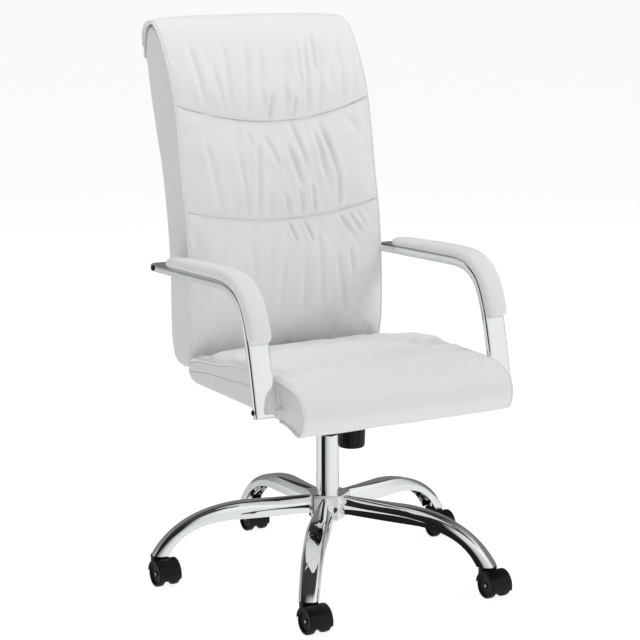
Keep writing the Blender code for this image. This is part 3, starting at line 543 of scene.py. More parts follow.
def plated_steel():
    """Zinc plate: grey, slightly yellow, with a fine spangle."""
    finish = Graph(bpy.data.materials.new("zinc_plated_steel"))
    place = finish.node("ShaderNodeTexCoord", output="Object")
    spangle = finish.node("ShaderNodeTexVoronoi", {}, {"Vector": place, "Scale": 420.0})
    colour = between(finish, clouds(finish, 120.0, 4.0), (0.56, 0.56, 0.55), (0.70, 0.70, 0.68))
    finish.set(Base_Color=colour, Metallic=1.0, Roughness=spangle * 0.12 + 0.27)
    return finish.owner


def painted_steel():
    """Black powder coat with its fine orange peel."""
    finish = Graph(bpy.data.materials.new("powder_coated_steel"))
    peel = clouds(finish, 900.0, 2.0)
    finish.set(Base_Color=(0.006, 0.006, 0.006), Roughness=peel * 0.15 + 0.33,
               Specular_IOR_Level=0.25, Normal=embossed(finish, peel, 0.25, 0.0004))
    return finish.owner


STEEL = plated_steel()
BLACK_STEEL = painted_steel()
at_axis = Matrix.Translation(AXIS)
tube = [(0.0065, axis_low.z), (0.0236, axis_low.z), (COLUMN_RADIUS, 0.190),
        (COLUMN_RADIUS, COLUMN_TOP), (COLUMN_RADIUS - 0.002, COLUMN_TOP),
        (COLUMN_RADIUS - 0.002, 0.190), (0.0216, axis_low.z + 0.004),
        (0.0065, axis_low.z + 0.004), (0.0065, axis_low.z)]
add_piece("column_sleeve", turned(eased(tube, 0.0008, 3), 96, at_axis), CHROME, "base",
          ["column_tube"])
rim = COLUMN_RADIUS - 0.0003
bush = [(0.0143, 0.236), (0.0227, 0.236), (0.0227, COLUMN_TOP + 0.0003),
        (rim, COLUMN_TOP + 0.0003), (rim, COLUMN_TOP + 0.0025), (0.0143, COLUMN_TOP + 0.0025),
        (0.0143, 0.236)]
add_piece("sleeve_bush", turned(eased(bush, 0.0007, 3), 72, at_axis), NYLON, "base",
          ["guide_bush"])
cylinder = [(0.0053, 0.190), (CYLINDER_RADIUS, 0.190), (CYLINDER_RADIUS, 0.350),
            (CYLINDER_RADIUS - 0.0008, 0.381), (0.0038, 0.381), (0.0038, 0.370), (0.0125, 0.370),
            (0.0125, 0.196), (0.0053, 0.196), (0.0053, 0.190)]
add_piece("lift_cylinder", turned(eased(cylinder, 0.0009, 3), 72, at_axis), BLACK_STEEL, "lift",
          ["gas_cylinder"])

# ---------------------------------------------------------------- tilt mechanism
# A pressed steel tray on the gas lift carries the tilt shaft, the tension spring with its hand
# knob, and the height lever.  The top plate turns on the shaft and is bolted under the seat.
TENSION = AXIS + Vector((0, -0.100, 0))
KNOB_RADIUS = 0.030
KNOB_BOTTOM, KNOB_TOP = 0.305, 0.3485
KNOB_FLUTES = 24
KNOB_FLOOR = KNOB_BOTTOM + 0.0075
SPRING_TOP = 0.3575
SPRING_COILS, SPRING_RADIUS, SPRING_WIRE = 4, 0.013, 0.0022
LEVER = Vector((-0.0465, AXIS.y, 0.3887))
LEVER_DROP = -0.0077


def rounded_copy(node, name, finish, body, width=0.0007):
    """A frame piece with its flat faces joined and its edges rounded."""
    shape = bmesh.new()
    shape.from_mesh(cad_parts[node].data)
    bmesh.ops.remove_doubles(shape, verts=shape.verts, dist=1e-5)
    bmesh.ops.dissolve_limit(shape, angle_limit=0.02, verts=shape.verts, edges=shape.edges)
    hard = [edge for edge in shape.edges
            if edge.is_manifold and abs(edge.calc_face_angle_signed(0)) > 0.6]
    soften(shape, hard, width, clamp=True)
    return add_piece(name, shape, finish, body, [node])


def wire(name, points, radius, finish, body, cyclic=False, stands_for=(), rounds=5):
    """A round cord, rod or wire along a line of points, as a mesh."""
    curve = bpy.data.curves.new(name, "CURVE")
    curve.dimensions = "3D"
    curve.bevel_depth = radius
    curve.bevel_resolution = rounds
    curve.use_fill_caps = not cyclic
    spline = curve.splines.new("POLY")
    spline.points.add(len(points) - 1)
    for point, place in zip(spline.points, points):
        point.co = (*place, 1)
    spline.use_cyclic_u = cyclic
    guide = link(bpy.data.objects.new(name, curve))
    bpy.context.view_layer.update()
    mesh = bpy.data.meshes.new_from_object(
        guide.evaluated_get(bpy.context.evaluated_depsgraph_get()))
    bpy.data.objects.remove(guide)
    shape = bmesh.new()
    shape.from_mesh(mesh)
    bpy.data.meshes.remove(mesh)
    bmesh.ops.remove_doubles(shape, verts=shape.verts, dist=1e-6)
    bmesh.ops.recalc_face_normals(shape, faces=shape.faces)
    return add_piece(name, shape, finish, body, stands_for, 60)


rounded_copy("tilt_chassis", "mechanism_tray", BLACK_STEEL, "lift")
rounded_copy("top_plate", "seat_plate", BLACK_STEEL, "upper", 0.0005)

knob = eased([(0, KNOB_BOTTOM), (0.012, KNOB_BOTTOM), (KNOB_RADIUS - 0.003, KNOB_BOTTOM + 0.001),
              (KNOB_RADIUS - 0.001, KNOB_BOTTOM + 0.006), (KNOB_RADIUS, KNOB_TOP - 0.002),
              (KNOB_RADIUS - 0.001, KNOB_TOP), (KNOB_RADIUS - 0.004, KNOB_TOP),
              (KNOB_RADIUS - 0.005, KNOB_FLOOR), (0.0043, KNOB_FLOOR),
              (0.0043, KNOB_BOTTOM + 0.0037), (0, KNOB_BOTTOM + 0.0037)], 0.0014, 4)
knob_shape = turned(knob, 144)
for vert in knob_shape.verts:
    radius = Vector((vert.co.x, vert.co.y)).length
    if radius > KNOB_RADIUS - 0.0025 and KNOB_BOTTOM + 0.004 < vert.co.z < KNOB_TOP - 0.001:
        flute = 0.5 + 0.5 * math.cos(KNOB_FLUTES * math.atan2(vert.co.y, vert.co.x))
        inward = 1 - 0.0005 * flute ** 3 / radius
        vert.co.x *= inward
        vert.co.y *= inward
bmesh.ops.translate(knob_shape, vec=TENSION, verts=knob_shape.verts)
add_piece("hand_knob", knob_shape, NYLON, "knob", ["tension_knob"])

bolt_head = bmesh.new()
bmesh.ops.create_cone(bolt_head, cap_ends=True, segments=6, radius1=0.008, radius2=0.008,
                      depth=0.004, matrix=Matrix.Translation((0, 0, 0.4105)))
soften(bolt_head, bolt_head.edges[:], 0.0005)
join(bolt_head, turned(eased([(0, 0.4085), (0.004, 0.4085), (0.004, 0.309), (0, 0.309)],
                             0.0005, 2), 32))
bmesh.ops.translate(bolt_head, vec=TENSION, verts=bolt_head.verts)
add_piece("tension_screw", bolt_head, STEEL, "tension", ["tension_bolt"])

spring_foot = KNOB_FLOOR + 0.0025
coil_line = []
for share in np.linspace(0, 1, SPRING_COILS * 28 + 1):
    angle = math.tau * SPRING_COILS * share
    coil_line.append(TENSION + Vector((SPRING_RADIUS * math.cos(angle),
                                       SPRING_RADIUS * math.sin(angle),
                                       spring_foot + (SPRING_TOP - spring_foot) * share)))
spring = wire("coil_spring", coil_line, SPRING_WIRE, STEEL, "tension",
              stands_for=["tension_spring"])
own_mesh(spring)

crank = eased([(0.0565, 0, 0), (-0.022, 0, 0), (-0.046, 0, LEVER_DROP), (-0.103, 0, LEVER_DROP)],
              0.009, 6)
wire("crank_rod", [LEVER + point for point in crank], 0.003, STEEL, "lever",
     stands_for=["lever_rod"])
paddle_low, paddle_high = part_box("lever_handle")
paddle = bmesh.new()
bmesh.ops.create_cube(paddle, size=1.0)
bmesh.ops.scale(paddle, vec=paddle_high - paddle_low, verts=paddle.verts)
bmesh.ops.subdivide_edges(paddle, edges=paddle.edges, cuts=3, use_grid_fill=True)
for vert in paddle.verts:
    outward = (vert.co.x - (paddle_high.x - paddle_low.x) / 2) / (paddle_low.x - paddle_high.x)
    vert.co.y *= 0.72 + 0.28 * outward
    vert.co.z *= 1 - 0.35 * outward
corners = [edge for edge in paddle.edges if edge.calc_face_angle(0) > 1.0]
soften(paddle, corners, 0.002, 3)
bmesh.ops.translate(paddle, vec=(paddle_low + paddle_high) / 2, verts=paddle.verts)
add_piece("lever_paddle", paddle, NYLON, "lever", ["lever_handle"], 50)

# Hexagon screws and their washers hold the top plate to the seat board
screws = bmesh.new()
for x in (-0.070, 0.070):
    for y in (-0.110, 0.085):
        for z, segments, low_radius, high_radius, depth in (
                (0.4147, 6, 0.0060, 0.0064, 0.004), (0.4163, 32, 0.0085, 0.0085, 0.001)):
            bmesh.ops.create_cone(screws, cap_ends=True, segments=segments, radius1=low_radius,
                                  radius2=high_radius, depth=depth,
                                  matrix=Matrix.Translation(AXIS + Vector((x, y, z))))
add_piece("plate_screws", screws, STEEL, "upper", sharp=30)

# ---------------------------------------------------------------- seat
# A plywood board under a foam pad.  The box is sewn from white coated fabric: front cheeks,
# side bands, and a padded cover that rolls over the front edge, piped along both its sides.
SEAT_HALF = 0.250
COVER_THICK = 0.0075
SEAT_COVER = ((-0.230, 0.4188), (-0.258, 0.4170), (-0.283, 0.4125), (-0.303, 0.4050),
              (-0.318, 0.4045), (-0.330, 0.4145), (-0.3370, 0.434), (-0.336, 0.456),
              (-0.325, 0.476), (-0.300, 0.492), (-0.262, 0.500), (-0.222, 0.503),
              (-0.160, 0.5035), (-0.106, 0.503), (-0.062, 0.5035), (-0.025, 0.501),
              (0.010, 0.494), (0.037, 0.489), (0.091, 0.484), (0.146, 0.478), (0.172, 0.468))
SEAT_REAR = ((0.180, 0.464), (0.187, 0.452), (0.187, 0.438), (0.178, 0.426), (0.160, 0.4195),
             (0.120, 0.4185), (0.0, 0.4185), (-0.108, 0.4187), (-0.2175, 0.4190))
SIDE_SEAM = ((0.184, 0.440), (0.160, 0.444), (0.080, 0.454), (0.0, 0.4585), (-0.109, 0.465),
             (-0.200, 0.462))
# The slot between the front cheek and the long side band, from its top to its bottom
SLIT_TOP, SLIT_BOTTOM = Vector((-0.2095, 0.4955)), Vector((-0.2225, 0.4195))
SLIT_CLEAR = 0.014
PIPING = 0.0023
EDGE_ROOM = 0.0033                  # how far a cover stops short of its piping's outside


def white_leather(name, tone, scale=1.0):
    """Coated fabric: soft white with a fine pebbled grain and a satin face."""
    finish = Graph(bpy.data.materials.new(name))
    place = finish.node("ShaderNodeTexCoord", output="Object")
    cloud = clouds(finish, 7.0, 4.0)
    pebble = finish.node("ShaderNodeTexVoronoi", {"feature": "SMOOTH_F1"},
                         {"Vector": place, "Scale": 780.0 * scale, "Smoothness": 0.6})
    grain = pebble * 0.7 + clouds(finish, 1500.0 * scale, 2.0) * 0.3
    shade, light = (tone * 0.97,) * 3, (tone * 1.01,) * 3
    finish.set(Base_Color=between(finish, cloud, shade, light), Roughness=cloud * 0.10 + 0.42,
               Specular_IOR_Level=0.45, Sheen_Weight=0.04, Sheen_Roughness=0.5,
               Normal=embossed(finish, grain, 0.10, 0.00035))
    return finish.owner


def flowing(points, spacing):
    """Evenly spaced points along a smooth curve through the given ones."""
    corners = [Vector(point) for point in points]
    corners = [corners[0] * 2 - corners[1]] + corners + [corners[-1] * 2 - corners[-2]]
    line = []
    for a, b, c, d in zip(corners, corners[1:], corners[2:], corners[3:]):
        for step in range(12):
            t = step / 12
            line.append(0.5 * (2 * b + (c - a) * t + (2 * a - 5 * b + 4 * c - d) * t ** 2
                               + (3 * b - a - 3 * c + d) * t ** 3))
    line.append(corners[-2])
    track = np.array([tuple(point) for point in line])
    run = np.concatenate([[0], np.cumsum(np.linalg.norm(np.diff(track, axis=0), axis=1))])
    count = max(2, round(run[-1] / spacing))
    even = np.linspace(0, run[-1], count + 1)
    return even, np.stack([np.interp(even, run, track[:, axis]) for axis in (0, 1)], axis=1)


class Cover:
    """A padded sheet wrapped over a side profile, from its low front end up and to the rear.

    across runs from -1 at the chair's right edge to 1 at its left, along is the length of
    cover from its front end, and lift is how far a point stands out of the profile.  thick,
    slide and droop are functions of along: the padding, how far the middle of a row hangs
    below its ends, and how much lower the ends lie."""

    def __init__(self, profile, half, spacing, thick, slide=None, droop=None):
        self.half = half
        self.thick = thick
        self.slide = slide or (lambda along: along * 0)
        self.droop = droop or (lambda along: along * 0)
        self.run, self.line = flowing(profile, spacing)
        self.length = self.run[-1]
        gradient = np.gradient(self.line, axis=0)
        gradient /= np.linalg.norm(gradient, axis=1)[:, None]
        self.outward = np.stack([-gradient[:, 1], gradient[:, 0]], axis=1)

    def at(self, across, along, lift):
        """Places in the chair for arrays of across, along and lift."""
        slid = np.clip(along - self.slide(along) * (1 - across ** 2), 0, self.length)
        y, z, out_y, out_z = (np.interp(slid, self.run, column) for column in
                              (*self.line.T, *self.outward.T))
        side = np.abs(across)
        lift = lift - self.droop(slid) * (0.55 * side ** 3 + 0.45 * side ** 14)
        return np.stack([across * self.half, y + out_y * lift + AXIS.y, z + out_z * lift],
                        axis=1)

    def inner_line(self, gap):
        """The profile that lies a gap inside the cover's edge."""
        depth = self.thick(self.run) + self.droop(self.run) + gap
        return self.line - self.outward * depth[:, None]

    def along_at(self, height):
        """The length along the cover's front where the profile first reaches a height."""
        return float(np.interp(height, self.line[:, 1][: self.top()],
                               self.run[: self.top()]))

    def top(self):
        """How many points of the profile there are up to its highest one."""
        return int(np.argmax(self.line[:, 1])) + 1


def across_places(half, thick, spacing):
    """Where the cover's rings stand: even over its width, and close round its rolled edges."""
    round_edge = [thick / 2 * (1 - math.sin(math.radians(angle))) for angle in (90, 60, 35, 15)]
    inner = half - thick / 2
    count = round(2 * inner / spacing)
    middle = np.linspace(-inner, inner, count + 1)
    edge = np.array([half - reach for reach in round_edge])
    return np.concatenate([-edge, middle, edge[::-1]]) / half


def cover_mesh(name, cover, spacing):
    """The sheet as one closed skin, with across, along and front kept as attributes."""
    thick = float(cover.thick(0.0))
    across = across_places(cover.half, thick, spacing)
    outer = cover.run
    inner = cover.run[-2:0:-1][::2]
    along = np.concatenate([outer, inner])
    facing = np.concatenate([np.ones(len(outer)), np.zeros(len(inner))])
    rings = []
    for place in across:
        room = np.minimum((1 - abs(place)) * cover.half,
                          np.minimum(along, cover.length - along))
        lean = np.clip(1 - room / (thick / 2), 0, 1)
        drop = cover.thick(along) / 2 * (1 - np.sqrt(1 - lean ** 2))
        lift = np.where(facing > 0.5, -drop, drop - cover.thick(along))
        rings.append([Vector(point) for point in cover.at(np.full(len(along), place), along,
                                                          lift)])
    shape = skin(rings)
    bmesh.ops.remove_doubles(shape, verts=shape.verts, dist=2e-5)
    bmesh.ops.recalc_face_normals(shape, faces=shape.faces)
    mesh = bpy.data.meshes.new(name)
    shape.to_mesh(mesh)
    shape.free()
    spot, station = read(mesh, "spot", np.int32), read(mesh, "station", np.int32)
    for label, values in (("across", across[station]), ("along", along[spot]),
                          ("front", facing[spot])):
        mesh.attributes.new(label, "FLOAT", "POINT").data.foreach_set(
            "value", values.astype(np.float32))
    return mesh


def read(mesh, label, kind=np.float32):
    """A value kept at each point of a mesh."""
    values = np.zeros(len(mesh.vertices), kind)
    mesh.attributes[label].data.foreach_get("value", values)
    return values


def places(mesh):
    """Where the points of a mesh are, one row each."""
    flat = np.zeros(len(mesh.vertices) * 3)
    mesh.vertices.foreach_get("co", flat)
    return flat.reshape(-1, 3)


def swell(piece, cover, held, pressure, cap, steps=18):
    """Fill a cover like foam does. Its inner face, its edges and the rows of it that are held
    stay where they are, and no point moves further than cap."""
    across, along, front = (read(piece.data, label) for label in ("across", "along", "front"))
    to_edge = np.minimum((1 - np.abs(across)) * (cover.half + EDGE_ROOM),
                         np.minimum(along, cover.length - along))
    still = (front < 0.5) | (to_edge < 0.006) | held(along)
    before = places(piece.data)
    group = piece.vertex_groups.new(name="held")
    group.add([int(index) for index in np.nonzero(still)[0]], 1.0, "ADD")
    cloth = piece.modifiers.new("Cloth", "CLOTH")
    cloth.settings.vertex_group_mass = "held"
    cloth.settings.use_pressure = True
    cloth.settings.uniform_pressure_force = pressure
    cloth.settings.effector_weights.gravity = 0.0
    cloth.settings.mass = 0.3
    cloth.settings.quality = 6
    cloth.settings.tension_stiffness = cloth.settings.compression_stiffness = 14.0
    cloth.settings.shear_stiffness = 6.0
    cloth.settings.bending_stiffness = 0.6
    cloth.settings.air_damping = 4.0
    cloth.settings.shrink_min = -0.012
    cloth.point_cache.frame_end = steps
    for step in range(1, steps + 1):
        bpy.context.scene.frame_set(step)
    after = places(piece.evaluated_get(bpy.context.evaluated_depsgraph_get()).data)
    piece.modifiers.remove(cloth)
    piece.vertex_groups.remove(group)
    bpy.context.scene.frame_set(1)
    move = after - before
    length = np.linalg.norm(move, axis=1)[:, None]
    move *= np.minimum(1.0, cap / np.maximum(length, 1e-9))
    piece.data.vertices.foreach_set("co", (before + move).ravel())
    piece.data.update()


def refine(piece):
    """One smooth subdivision, kept in the mesh."""
    step = piece.modifiers.new("Subdivision", "SUBSURF")
    step.levels = step.render_levels = 1
    bpy.context.view_layer.update()
    finer = bpy.data.meshes.new_from_object(
        piece.evaluated_get(bpy.context.evaluated_depsgraph_get()))
    piece.modifiers.remove(step)
    piece.data = finer
    finer.shade_smooth()


def crease(across, along, start, end, depth, width):
    """How far a fold moves the cover: a valley from start to end between two soft ridges."""
    start, end = np.array(start), np.array(end)
    run = end - start
    length = float(np.linalg.norm(run))
    reach = np.stack([across, along], axis=1) - start
    share = reach @ run / length ** 2
    offset = np.abs(reach @ np.array([-run[1], run[0]]) / length)
    fade = np.clip(np.minimum(share + 0.12, 1.12 - share) / 0.36, 0, 1)
    fade = fade * fade * (3 - 2 * fade)
    valley = np.exp(-np.abs(offset / (0.72 * width)) ** 1.5)
    ridge = np.exp(-((offset - 1.9 * width) / (1.1 * width)) ** 2)
    return fade * depth * (0.45 * ridge - valley)


def new_cover(name, cover, spacing, finish, body, stands_for):
    """A cover's mesh as a piece on its body, in place of a plain solid of the frame."""
    mesh = cover_mesh(name, cover, spacing)
    mesh.materials.append(finish)
    piece = link(bpy.data.objects.new(name, mesh))
    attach(piece, body)
    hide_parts(*stands_for)
    return piece


def push_out(piece, cover, amount):
    """Move a cover's front points out of the profile by an amount that varies over it."""
    mesh = piece.data
    across, along, front = (read(mesh, label) for label in ("across", "along", "front"))
    slid = along - cover.slide(along) * (1 - across ** 2)
    out = np.stack([np.zeros(len(along)), np.interp(slid, cover.run, cover.outward[:, 0]),
                    np.interp(slid, cover.run, cover.outward[:, 1])], axis=1)
    lift = amount(across, along) * front
    mesh.vertices.foreach_set("co", (places(mesh) + out * lift[:, None]).ravel())
    mesh.update()


def box_shape(front_line, rear_line, half, edge):
    """A closed block over a side profile, with its two side edges rounded."""
    outline = [Vector(point) for point in front_line] + [Vector(point) for point in rear_line]
    stations = [(half, edge + 0.0025)]
    for angle in (0, math.pi / 6, math.pi / 3, math.pi / 2):
        stations.append((half - edge * (1 - math.cos(angle)), edge * (1 - math.sin(angle))))
    stations += [(-x, inset) for x, inset in stations[::-1]]
    rings = []
    for x, inset in stations:
        ring = []
        for before, point, after in zip(outline[-1:] + outline[:-1], outline,
                                        outline[1:] + outline[:1]):
            along = (after - before).normalized()
            place = point + Vector((along.y, -along.x)) * inset
            ring.append(Vector((x, place.x + AXIS.y, place.y)))
        rings.append(ring)
    return skin(rings, caps=True)


LEATHER = white_leather("white_leather", 0.74)
# The side bands are the same leather a tone darker: painted shade of the cushions' sides.
SIDE_LEATHER_PAINTED_SHADE = white_leather("side_leather_painted_shade", 0.72)
# The seam thread is much darker than the leather: painted shade of the seam grooves.
SEAM_THREAD_PAINTED_SHADE = white_leather("seam_thread_painted_shade", 0.48)
PIPED = white_leather("piping_leather", 0.74, 1.4)

seat_cover = Cover(SEAT_COVER, SEAT_HALF - EDGE_ROOM, 0.0062,
                   lambda along: np.full(np.shape(along), COVER_THICK))
seat_pad = new_cover("seat_pad", seat_cover, 0.0062, LEATHER, "upper", ["seat_cushion"])


def seat_crown(across, along):
    """The pad stands highest over the middle of the seat and least on the front roll."""
    share = along / seat_cover.length
    over_top = np.clip((share - 0.16) / 0.25, 0, 1) * np.clip((1 - share) / 0.16, 0, 1)
    return (0.0010 + 0.0040 * over_top) * (1 - np.abs(across) ** 4)


push_out(seat_pad, seat_cover, seat_crown)
swell(seat_pad, seat_cover, lambda along: along < seat_cover.along_at(0.492), 1.8, 0.008)
refine(seat_pad)


def seat_spot(x, y):
    """Across in metres and along, for a point of the seat's top given from the gas lift."""
    top = seat_cover.top()
    return x, float(np.interp(y, seat_cover.line[top - 12:, 0], seat_cover.run[top - 12:]))


# Folds and hollows of the seat's top, from and to places given from the gas lift's axis
SEAT_FOLDS = (((0.085, -0.045), (0.165, -0.070), 0.0085, 0.018),
              ((0.145, -0.075), (0.170, -0.160), 0.0090, 0.016),
              ((0.150, -0.150), (0.246, -0.212), 0.0090, 0.015),
              ((0.150, 0.060), (0.205, -0.040), -0.0070, 0.020),
              ((0.195, -0.025), (0.244, -0.100), -0.0065, 0.018),
              ((-0.088, 0.070), (-0.146, -0.086), -0.0020, 0.010),
              ((-0.070, 0.040), (-0.115, -0.090), 0.0018, 0.009),
              ((-0.170, 0.080), (-0.235, -0.010), -0.0022, 0.014),
              ((-0.200, -0.150), (-0.238, -0.222), 0.0030, 0.012),
              ((-0.010, 0.110), (0.020, 0.020), 0.0018, 0.020),
              ((0.075, 0.130), (0.105, 0.040), 0.0022, 0.018),
              ((-0.120, 0.140), (-0.100, 0.060), 0.0016, 0.014),
              ((0.190, 0.150), (0.165, 0.070), 0.0020, 0.014))


def seat_relief(across, along):
    """The folds, and a slight unevenness, that fade out at the side edges."""
    side = across * SEAT_HALF
    relief = np.zeros(len(across))
    for start, end, depth, width in SEAT_FOLDS:
        relief += crease(side, along, seat_spot(*start), seat_spot(*end), depth, width)
    room = np.clip((1 - np.abs(across)) * SEAT_HALF / 0.02, 0, 1)
    wander = np.array([noise.noise(Vector((x * 9, s * 9, 3.1))) for x, s in zip(side, along)])
    return (relief + wander * 0.0016) * room


push_out(seat_pad, seat_cover, seat_relief)


def slit_side(shift):
    """Three points down one side of the slot."""
    return [SLIT_TOP.lerp(SLIT_BOTTOM, share) + Vector((shift, 0)) for share in (0, 0.5, 1)]


def padded_box(name, shape, body, stands_for):
    """The sewn sides of a cushion, as one solid piece."""
    box = add_piece(name, shape, SIDE_LEATHER_PAINTED_SHADE, body, stands_for, 50)


# The two boxes of the seat fit under the cover, and the front cheek stops at the slot
under = np.interp(seat_cover.run, (0.0, 0.06, 0.11),
                  (-COVER_THICK, -COVER_THICK + 0.001, -0.001))
seat_inner = seat_cover.inner_line(under)[::2]
cheek = [point for point in seat_inner
         if point[0] < (SLIT_TOP.x if point[1] > 0.44 else SLIT_BOTTOM.x) - SLIT_CLEAR]
padded_box("seat_front_cheeks", box_shape(cheek, slit_side(-0.0015), SEAT_HALF - 0.005, 0.005),
           "upper", ["seat_cushion"])
band_top, band_middle, band_bottom = slit_side(0.002)
band = [band_top] + [point for point in seat_inner if point[0] > SLIT_TOP.x + SLIT_CLEAR]
band_rear = list(flowing(SEAT_REAR, 0.007)[1])[:-2] + [band_bottom, band_middle]
padded_box("seat_side_bands", box_shape(band, band_rear, SEAT_HALF - 0.0065, 0.006), "upper",
           ["seat_cushion"])


def pipe_edges(name, cover, start, end):
    """Cord in a strip of the same fabric, sewn along both edges of a cover."""
    along = np.linspace(cover.length * start, cover.length * end, 160)
    for side, sign in SIDES:
        across = sign * (cover.half + EDGE_ROOM - PIPING) / cover.half
        line = cover.at(np.full(160, across), along, np.full(160, -0.0022))
        wire(f"{name}_piping_{side}", line, PIPING, PIPED, "upper")


pipe_edges("seat", seat_cover, 0.012, 0.99)
for side, sign in SIDES:
    seam = [(sign * (SEAT_HALF - 0.0064), y + AXIS.y, z) for y, z in flowing(SIDE_SEAM, 0.004)[1]]
    wire(f"seat_side_seam_{side}", seam, 0.0006, SEAM_THREAD_PAINTED_SHADE, "upper",
         rounds=2)

# ---------------------------------------------------------------- back
# A bent plywood board in a box of white coated fabric.  Its padded front cover is sewn in three
# panels, gathered into two curved seams, and rolls over the top to end as a flap behind.
BACK_HALF = 0.244
BACK_COVER = ((0.214, 0.441), (0.198, 0.452), (0.183, 0.476), (0.174, 0.520), (0.172, 0.560),
              (0.174, 0.630), (0.179, 0.700), (0.188, 0.770), (0.206, 0.860), (0.219, 0.935),
              (0.235, 1.010), (0.257, 1.075), (0.281, 1.126), (0.303, 1.162), (0.325, 1.186),
              (0.352, 1.198), (0.380, 1.195), (0.400, 1.178), (0.407, 1.157), (0.4035, 1.130),
              (0.3965, 1.103))
BACK_REAR = ((0.386, 1.090), (0.378, 1.052), (0.354, 0.972), (0.318, 0.861), (0.296, 0.750),
             (0.286, 0.640), (0.285, 0.540), (0.281, 0.490), (0.270, 0.460), (0.250, 0.445),
             (0.230, 0.442))
SEAMS = ((0.788, 0.031), (1.014, 0.045))       # a seam's height at its ends, and its sag
PANEL_FOOT = 0.045                  # where the lowest panel begins along the cover


def back_slide(along):
    """How far down the middle of a row of the cover hangs below its ends."""
    return np.interp(along, SLIDE_RUN, SLIDE_SAG)


def back_thick(along):
    """The cover's padding, which thins out towards the end of the rear flap."""
    return np.interp(along, THICK_RUN, (COVER_THICK, COVER_THICK, 0.0085, 0.0085, 0.002))


def back_droop(along):
    """How much lower the crown lies at its two ends than in its middle."""
    return np.interp(along, THICK_RUN, (0.0, 0.0005, 0.0095, 0.0095, 0.003))


back_cover = Cover(BACK_COVER, BACK_HALF - EDGE_ROOM, 0.0058, back_thick, back_slide,
                   back_droop)
seam_runs = [back_cover.along_at(height) for height, sag in SEAMS]
crown_run = back_cover.along_at(1.17)
SLIDE_RUN = [0.0, 0.12, seam_runs[0], seam_runs[1], crown_run, back_cover.length]
SLIDE_SAG = [0.0, 0.004, SEAMS[0][1], SEAMS[1][1], 0.004, 0.0]
THICK_RUN = [0.0, back_cover.along_at(1.05), back_cover.along_at(1.19),
             back_cover.length - 0.055, back_cover.length]
PANEL_BOUNDS = [crown_run, seam_runs[1], seam_runs[0], PANEL_FOOT]

back_pad = new_cover("back_pad", back_cover, 0.0058, LEATHER, "upper", ["back_cushion"])


def seam_distance(along):
    """How far along the cover the nearest gathered seam is."""
    return np.min([np.abs(along - run) for run in seam_runs], axis=0)


def back_crown(across, along):
    """Each panel is fullest just above its lower seam, and lies flat at its seams and sides."""
    panel = np.where(along > seam_runs[1], 0, np.where(along > seam_runs[0], 1, 2))
    upper, lower = np.array(PANEL_BOUNDS)[panel], np.array(PANEL_BOUNDS)[panel + 1]
    share = np.clip((upper - along) / (upper - lower), 0, 1)
    full = 1.55 * share ** 0.75 * (1 - share) ** 0.38
    return 0.0060 * full * (1 - np.abs(across) ** 5)


push_out(back_pad, back_cover, back_crown)
swell(back_pad, back_cover,
      lambda along: (seam_distance(along) < 0.004) | (along > back_cover.along_at(1.10)),
      2.0, 0.010)
refine(back_pad)

# Folds of each panel: where each starts and ends, as shares of the panel's width from the
# chair's right and of its height from the top, then how strong it is and its width in
# millimetres
FOLD_STRENGTH = 1 / 620
BACK_FOLDS = (
    ((0.117, 0.20, 0.141, 0.91, 2.2, 8), (0.211, 0.43, 0.227, 0.88, 1.6, 6),
     (0.292, 0.20, 0.259, 0.87, 2.4, 8), (0.403, 0.15, 0.347, 0.89, 2.2, 7),
     (0.477, 0.15, 0.423, 0.86, 1.8, 8), (0.607, 0.20, 0.541, 0.86, 2.4, 8),
     (0.484, 0.71, 0.455, 0.99, 3.0, 6), (0.669, 0.18, 0.639, 0.72, 2.2, 6),
     (0.605, 0.74, 0.582, 0.98, 2.6, 5), (0.711, 0.18, 0.656, 0.92, 2.2, 6),
     (0.759, 0.08, 0.733, 0.56, 3.2, 6), (0.799, 0.20, 0.723, 0.95, 2.6, 7),
     (0.895, 0.18, 0.850, 0.95, 2.2, 8), (0.960, 0.30, 0.920, 0.95, 1.6, 7)),
    ((0.121, 0.26, 0.170, 0.95, 1.8, 8), (0.280, 0.34, 0.305, 0.98, 2.0, 7),
     (0.382, 0.20, 0.356, 0.98, 2.2, 7), (0.337, 0.10, 0.356, 0.26, 1.8, 5),
     (0.418, 0.15, 0.483, 0.48, 2.0, 7), (0.532, 0.25, 0.594, 0.71, 3.2, 7),
     (0.569, 0.03, 0.622, 0.50, 2.4, 6), (0.500, 0.74, 0.517, 0.99, 2.4, 6),
     (0.575, 0.71, 0.592, 0.97, 2.4, 5), (0.680, 0.14, 0.725, 0.70, 2.6, 6),
     (0.642, 0.67, 0.654, 0.99, 3.0, 5), (0.723, 0.13, 0.784, 0.64, 3.4, 6),
     (0.784, 0.60, 0.782, 0.95, 3.0, 6), (0.876, 0.10, 0.922, 0.33, 1.8, 8)),
    ((0.514, 0.03, 0.547, 0.20, 3.2, 5), (0.593, 0.02, 0.627, 0.20, 3.2, 5),
     (0.660, 0.05, 0.657, 0.71, 2.2, 8), (0.780, 0.03, 0.833, 0.20, 2.4, 5),
     (0.830, 0.03, 0.890, 0.21, 2.4, 5), (0.877, 0.03, 0.917, 0.18, 1.8, 5),
     (0.747, 0.30, 0.772, 0.77, 2.4, 8), (0.818, 0.30, 0.826, 0.50, 2.0, 6),
     (0.578, 0.30, 0.559, 0.77, 2.0, 9), (0.470, 0.30, 0.434, 0.76, 1.8, 9),
     (0.398, 0.18, 0.403, 0.38, 1.6, 7), (0.306, 0.20, 0.316, 0.45, 1.6, 8),
     (0.240, 0.68, 0.227, 0.86, 1.2, 8), (0.960, 0.45, 0.780, 0.88, 3.0, 22)))


